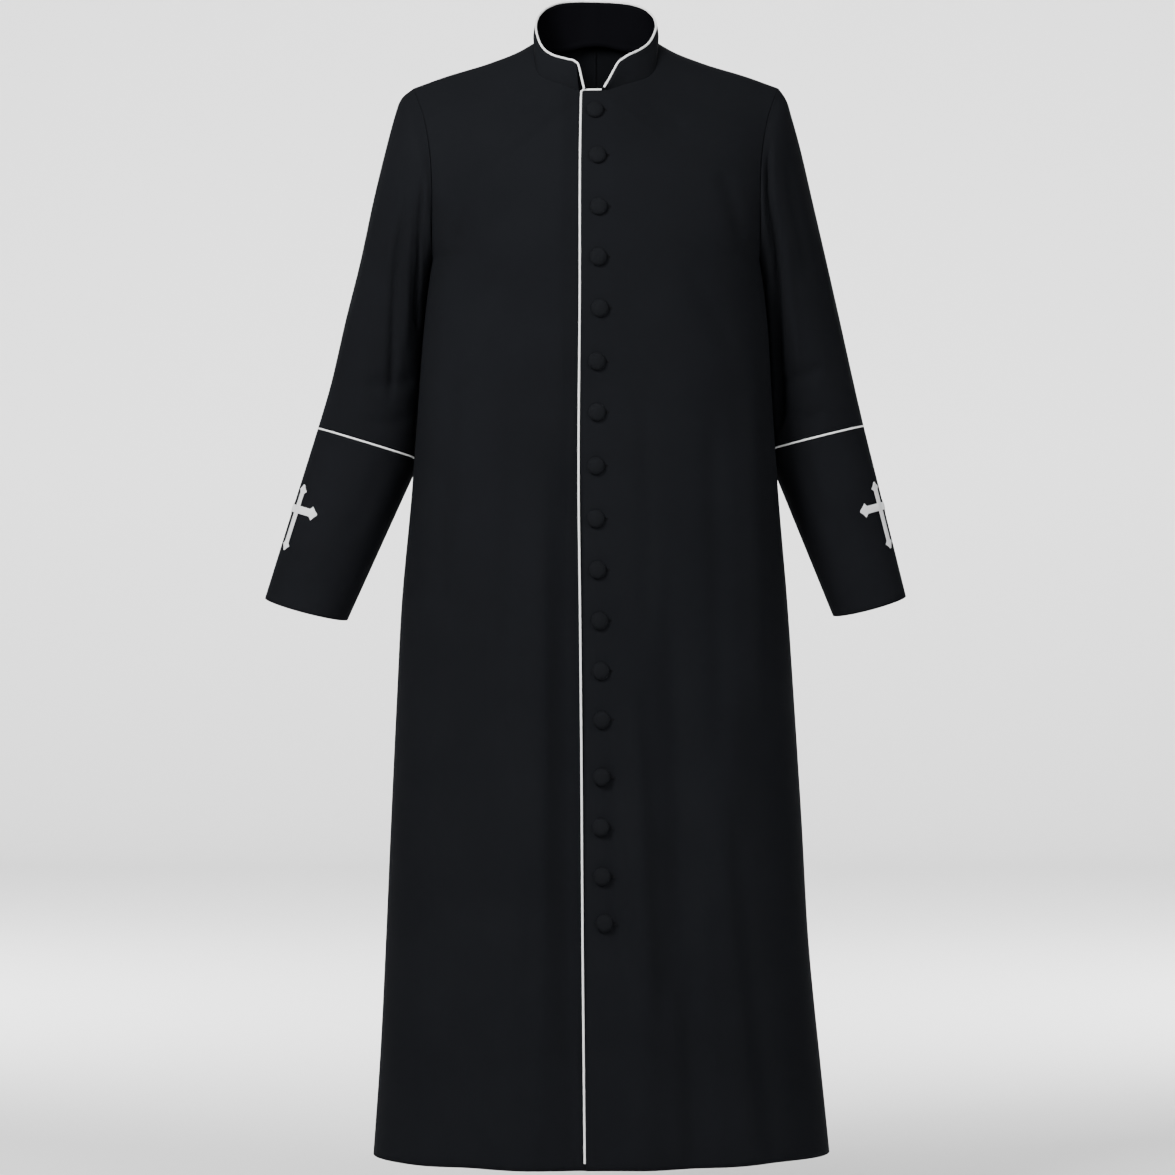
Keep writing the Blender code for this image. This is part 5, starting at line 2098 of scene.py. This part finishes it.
@dataclass
class Studio:
    """The pale paper sweep, the soft lights and the camera."""

    floor_z: float = -1.47
    half_width: float = 14.0
    near_y: float = -16.0
    far_y: float = 7.0
    bend: float = 1.2
    bend_step: int = 6
    top_z: float = 6.0
    camera_at: Triple = (-0.0106, -5.5, -0.678)
    lens: float = 134.8
    sensor: float = 36.0
    world: float = 0.22
    backdrop: float = 2.2
    lamps: tuple[Lamp, ...] = (
        Lamp("key", (-1.45, -1.9, 1.25), (0.0, 0.0, -0.1), (0.9, 0.9), 131),
        Lamp("fill", (2.3, -2.9, 1.5), (0.0, 0.0, -0.1), (1.6, 1.6), 76),
        Lamp("back", (0.4, 3.0, 1.5), (0.0, 0.0, -0.45), (1.8, 1.2), 75),
        Lamp("floor", (0.0, -6.6, 3.2), (0.0, -9.0, -1.47), (4.0, 3.0), 420),
        Lamp("back_left", (1.9, 2.2, 1.3), (0.0, 0.0, -0.45), (0.9, 1.6), 15),
        Lamp("paper_left", (3.0, 2.2, 0.6), (0.0, 8.2, -0.3), (1.6, 2.6), 420),
        Lamp("back_right", (-1.9, 2.2, 1.3), (0.0, 0.0, -0.45), (0.9, 1.6), 15),
        Lamp("paper_right", (-3.0, 2.2, 0.6), (0.0, 8.2, -0.3), (1.6, 2.6), 420),
    )

    def sweep(self) -> Object:
        """A floor that curves up into a wall behind.

        Returns:
            The sweep.
        """
        line = [(self.near_y, self.floor_z), (self.far_y, self.floor_z)]
        for angle in np.radians(np.arange(self.bend_step, 91, self.bend_step)):
            line.append((self.far_y + self.bend * math.sin(angle),
                         self.floor_z + self.bend * (1 - math.cos(angle))))
        line.append((self.far_y + self.bend, self.top_z))
        points = [(side * self.half_width, y, z) for y, z in line for side in (-1, 1)]
        faces = [(2 * k, 2 * k + 1, 2 * k + 3, 2 * k + 2) for k in range(len(line) - 1)]
        mesh = bpy.data.meshes.new("paper_sweep")
        mesh.from_pydata(points, [], faces)
        mesh.polygons.foreach_set("use_smooth", np.ones(len(faces), dtype=bool))
        mesh.materials.append(PaperFinish().build())
        thing = put("paper_sweep", mesh)
        return thing

    def surround(self) -> None:
        """Light from all sides, weaker on the robe than the backdrop looks."""
        world = bpy.data.worlds.new("studio")
        world.use_nodes = True
        nodes, links = world.node_tree.nodes, world.node_tree.links
        shade = nodes["Background"]
        shade.inputs["Color"].default_value = (1, 1, 1, 1)
        rays = nodes.new("ShaderNodeLightPath")
        level = nodes.new("ShaderNodeMapRange")
        level.inputs["To Min"].default_value = self.world
        level.inputs["To Max"].default_value = self.backdrop
        links.new(rays.outputs["Is Camera Ray"], level.inputs["Value"])
        links.new(level.outputs["Result"], shade.inputs["Strength"])
        bpy.context.scene.world = world

    def camera(self) -> None:
        """A level camera in front, at the height of the photo's middle."""
        data = bpy.data.cameras.new("camera")
        data.lens = self.lens
        data.sensor_width = self.sensor
        camera = put("camera", data)
        camera.location = self.camera_at
        camera.rotation_euler = (math.pi / 2, 0, 0)
        bpy.context.scene.camera = camera

    def build(self) -> None:
        """Set up the sweep, the lights and the camera."""
        self.sweep()
        self.surround()
        for lamp in self.lamps:
            lamp.build()
        self.camera()


# Soft creases laid over the main folds, as x and height for the front and the back
FRONT_CREASES = (
    Crease(((-0.032, -0.36), (-0.031, -0.70), (-0.029, -1.00), (-0.028, -1.36)), 0.026, -0.0052),
    Crease(((-0.066, -0.50), (-0.064, -0.80), (-0.066, -1.12)), 0.016, 0.0022),
    Crease(((-0.098, -0.40), (-0.104, -0.66), (-0.108, -0.92)), 0.018, -0.0030),
    Crease(((-0.128, -0.56), (-0.134, -0.84), (-0.152, -1.42)), 0.020, 0.0034),
    Crease(((-0.078, -0.98), (-0.084, -1.20), (-0.092, -1.42)), 0.018, -0.0036),
    Crease(((-0.172, -0.32), (-0.186, -0.54), (-0.196, -0.76)), 0.018, -0.0038),
    Crease(((-0.170, -0.78), (-0.186, -1.04), (-0.208, -1.42)), 0.022, -0.0048),
    Crease(((-0.118, -1.06), (-0.124, -1.24), (-0.132, -1.42)), 0.015, 0.0028),
    Crease(((0.016, -0.84), (0.022, -1.00), (0.036, -1.18)), 0.014, -0.0034),
    Crease(((0.046, -0.78), (0.054, -0.98), (0.066, -1.24)), 0.016, 0.0036),
    Crease(((0.060, -0.42), (0.064, -0.60), (0.062, -0.76)), 0.015, -0.0020),
    Crease(((0.088, -0.62), (0.098, -0.88), (0.110, -1.14)), 0.019, -0.0034),
    Crease(((0.142, -0.42), (0.150, -0.66), (0.152, -0.94)), 0.020, -0.0034),
    Crease(((0.190, -0.36), (0.196, -0.60), (0.200, -0.86)), 0.018, 0.0030),
    Crease(((0.168, -0.92), (0.190, -1.14), (0.224, -1.42)), 0.020, -0.0046),
    Crease(((0.092, -1.14), (0.098, -1.28), (0.104, -1.42)), 0.016, 0.0030),
    Crease(((0.128, -1.00), (0.138, -1.20), (0.156, -1.42)), 0.016, 0.0028),
    Crease(((0.150, -0.155), (0.170, -0.205), (0.184, -0.262)), 0.014, -0.0026),
    Crease(((-0.148, -0.150), (-0.172, -0.200), (-0.187, -0.262)), 0.015, -0.0028),
    Crease(((0.105, -0.28), (0.140, -0.33), (0.172, -0.40)), 0.016, -0.0018),
    Crease(((-0.100, -0.27), (-0.140, -0.33), (-0.176, -0.42)), 0.018, -0.0020),
    Crease(((-0.050, -0.075), (-0.090, -0.082), (-0.128, -0.100)), 0.012, -0.0012),
    Crease(((0.055, -0.072), (0.085, -0.090), (0.112, -0.118)), 0.012, -0.0010),
)
BACK_CREASES = (
    Crease(((-0.150, -0.110), (-0.160, -0.190), (-0.178, -0.270)), 0.016, -0.0022),
    Crease(((0.148, -0.105), (0.162, -0.190), (0.180, -0.275)), 0.017, -0.0024),
    Crease(((-0.105, -0.20), (-0.120, -0.30), (-0.122, -0.44)), 0.018, -0.0015),
    Crease(((0.112, -0.22), (0.118, -0.33), (0.126, -0.46)), 0.017, -0.0017),
    Crease(((-0.036, -0.50), (-0.040, -0.78), (-0.048, -1.10)), 0.016, -0.0028),
    Crease(((0.034, -0.54), (0.042, -0.86), (0.046, -1.42)), 0.017, -0.0026),
    Crease(((-0.108, -0.62), (-0.122, -0.90), (-0.130, -1.42)), 0.018, 0.0024),
    Crease(((0.102, -0.58), (0.112, -0.84), (0.128, -1.16)), 0.018, 0.0022),
    Crease(((-0.180, -0.42), (-0.192, -0.70), (-0.206, -1.00)), 0.018, -0.0026),
    Crease(((0.178, -0.46), (0.196, -0.80), (0.218, -1.42)), 0.018, -0.0030),
    Crease(((-0.196, -0.90), (-0.214, -1.14), (-0.232, -1.42)), 0.016, 0.0024),
    Crease(((-0.018, -0.98), (-0.016, -1.18), (-0.020, -1.42)), 0.013, 0.0016),
    Crease(((-0.090, -0.045), (-0.050, -0.075), (0.010, -0.085)), 0.014, -0.0010),
)
# Creases of each sleeve, as metres round from its outer edge and metres down it
RIGHT_SLEEVE_CREASES = (
    Crease(((0.092, 0.006), (0.1005, 0.0145), (0.129, 0.068), (0.1355, 0.110), (0.142, 0.180)),
           0.0065, -0.0050, ends=0.14),
    Crease(((0.076, 0.050), (0.088, 0.080), (0.095, 0.148), (0.106, 0.215), (0.112, 0.268),
            (0.112, 0.305)), 0.0075, -0.0058, ends=0.22),
    Crease(((0.094, 0.030), (0.110, 0.085), (0.120, 0.160), (0.126, 0.230)), 0.0090, 0.0030),
    Crease(((0.050, 0.030), (0.058, 0.110), (0.064, 0.200)), 0.018, -0.0024),
    Crease(((0.150, 0.240), (0.112, 0.272), (0.070, 0.284)), 0.014, -0.0034),
    Crease(((0.146, 0.302), (0.110, 0.322), (0.078, 0.326)), 0.012, -0.0022),
    Crease(((0.030, 0.100), (0.036, 0.200), (0.026, 0.320)), 0.016, 0.0020),
    Crease(((0.250, 0.060), (0.262, 0.170), (0.256, 0.300)), 0.016, -0.0044),
    Crease(((0.282, 0.030), (0.290, 0.120), (0.286, 0.220)), 0.016, -0.0028),
    Crease(((0.205, 0.230), (0.250, 0.260), (0.300, 0.250)), 0.015, -0.0036),
    Crease(((0.215, 0.306), (0.262, 0.326), (0.310, 0.315)), 0.013, -0.0026),
    Crease(((0.318, 0.060), (0.322, 0.180), (0.330, 0.270)), 0.018, 0.0024),
)
LEFT_SLEEVE_CREASES = (
    Crease(((0.066, 0.008), (0.100, 0.021), (0.117, 0.070), (0.129, 0.1205), (0.137, 0.210),
            (0.141, 0.292), (0.143, 0.326)), 0.0130, -0.0105, ends=0.10, skew=0.3),
    Crease(((0.096, 0.070), (0.104, 0.160), (0.104, 0.270)), 0.012, 0.0028),
    Crease(((0.060, 0.030), (0.068, 0.100), (0.066, 0.180)), 0.017, -0.0024),
    Crease(((0.142, 0.245), (0.104, 0.262), (0.066, 0.262)), 0.013, -0.0030),
    Crease(((0.138, 0.300), (0.104, 0.316), (0.072, 0.310)), 0.012, -0.0022),
    Crease(((0.026, 0.120), (0.034, 0.210), (0.030, 0.310)), 0.015, 0.0018),
    Crease(((0.246, 0.050), (0.254, 0.160), (0.262, 0.280)), 0.016, -0.0042),
    Crease(((0.286, 0.030), (0.284, 0.110), (0.292, 0.200)), 0.016, -0.0026),
    Crease(((0.205, 0.220), (0.246, 0.242), (0.292, 0.240)), 0.015, -0.0034),
    Crease(((0.314, 0.080), (0.326, 0.190), (0.322, 0.300)), 0.018, 0.0024),
)
CUFF_CREASES = (
    Crease(((0.118, 0.005), (0.120, 0.070), (0.112, 0.130)), 0.016, -0.0014),
    Crease(((0.080, 0.050), (0.088, 0.120), (0.086, 0.205)), 0.018, 0.0009),
    Crease(((0.246, 0.020), (0.252, 0.100), (0.262, 0.180)), 0.018, -0.0016),
    Crease(((0.305, 0.060), (0.300, 0.130), (0.296, 0.200)), 0.016, 0.0010),
)


def main() -> None:
    """Build every sub-assembly in order, then set up the studio."""
    shop = Workshop(
        form=RobeForm(),
        cloth=WoolFinish("robe_cloth").build(),
        button_cloth=WoolFinish("button_cloth", colour=(0.0080, 0.0085, 0.0098)).build(),
        # The collar's inside in darker cloth with no sheen: painted shade
        facing=WoolFinish("collar_inside_painted_shade", colour=(0.0032, 0.0032, 0.0042), sheen=0.0).build(),
        cord=CordFinish("white_piping").build(),
        satin=ThreadFinish("white_satin_thread", (0.74, 0.74, 0.75)).build(),
        black_thread=ThreadFinish("black_thread", (0.007, 0.007, 0.008), 0.8, 0.04, 0.0).build(),
        threads=thread_tree(),
        stitches=stitch_tree(),
    )
    for hand in Hand:
        word = hand.word
        back = {"hand": hand, "face": Face.BACK, "columns": 40, "creases": BACK_CREASES}
        creases = LEFT_SLEEVE_CREASES if hand is Hand.LEFT else RIGHT_SLEEVE_CREASES
        BodyPanel(shop, "front_" + word, (0.40, 1.33), 0.430, hand=hand,
                  creases=FRONT_CREASES).build()
        BodyPanel(shop, "back_" + word, (0.24, 1.42), 0.255, part=(0.5, 1.0), **back).build()
        BodyPanel(shop, "back_side_" + word, (0.22, 1.36), 0.160, part=(0.0, 0.5), **back).build()
        Sleeve(shop, "sleeve_" + word, (0.42, 0.45), 0.130, hand=hand, creases=creases).build()
        Cuff(shop, "cuff_" + word, (0.36, 0.22), 0.076, wall=0.0020, hand=hand,
             creases=CUFF_CREASES).build()
        SatinCross(shop, hand).build()
    collar = Collar(shop, "collar", (0.46, 0.06), 0.0195, wall=0.0030, held=Hold.STRETCHED)
    collar.build()
    Piping(shop).build()
    buttons = CoveredButtons(shop)
    buttons.build()
    Sewing(shop, buttons, collar).build()
    Studio().build()


if __name__ == "__main__":
    logging.basicConfig(level=logging.INFO, format="%(name)s: %(message)s")
    main()
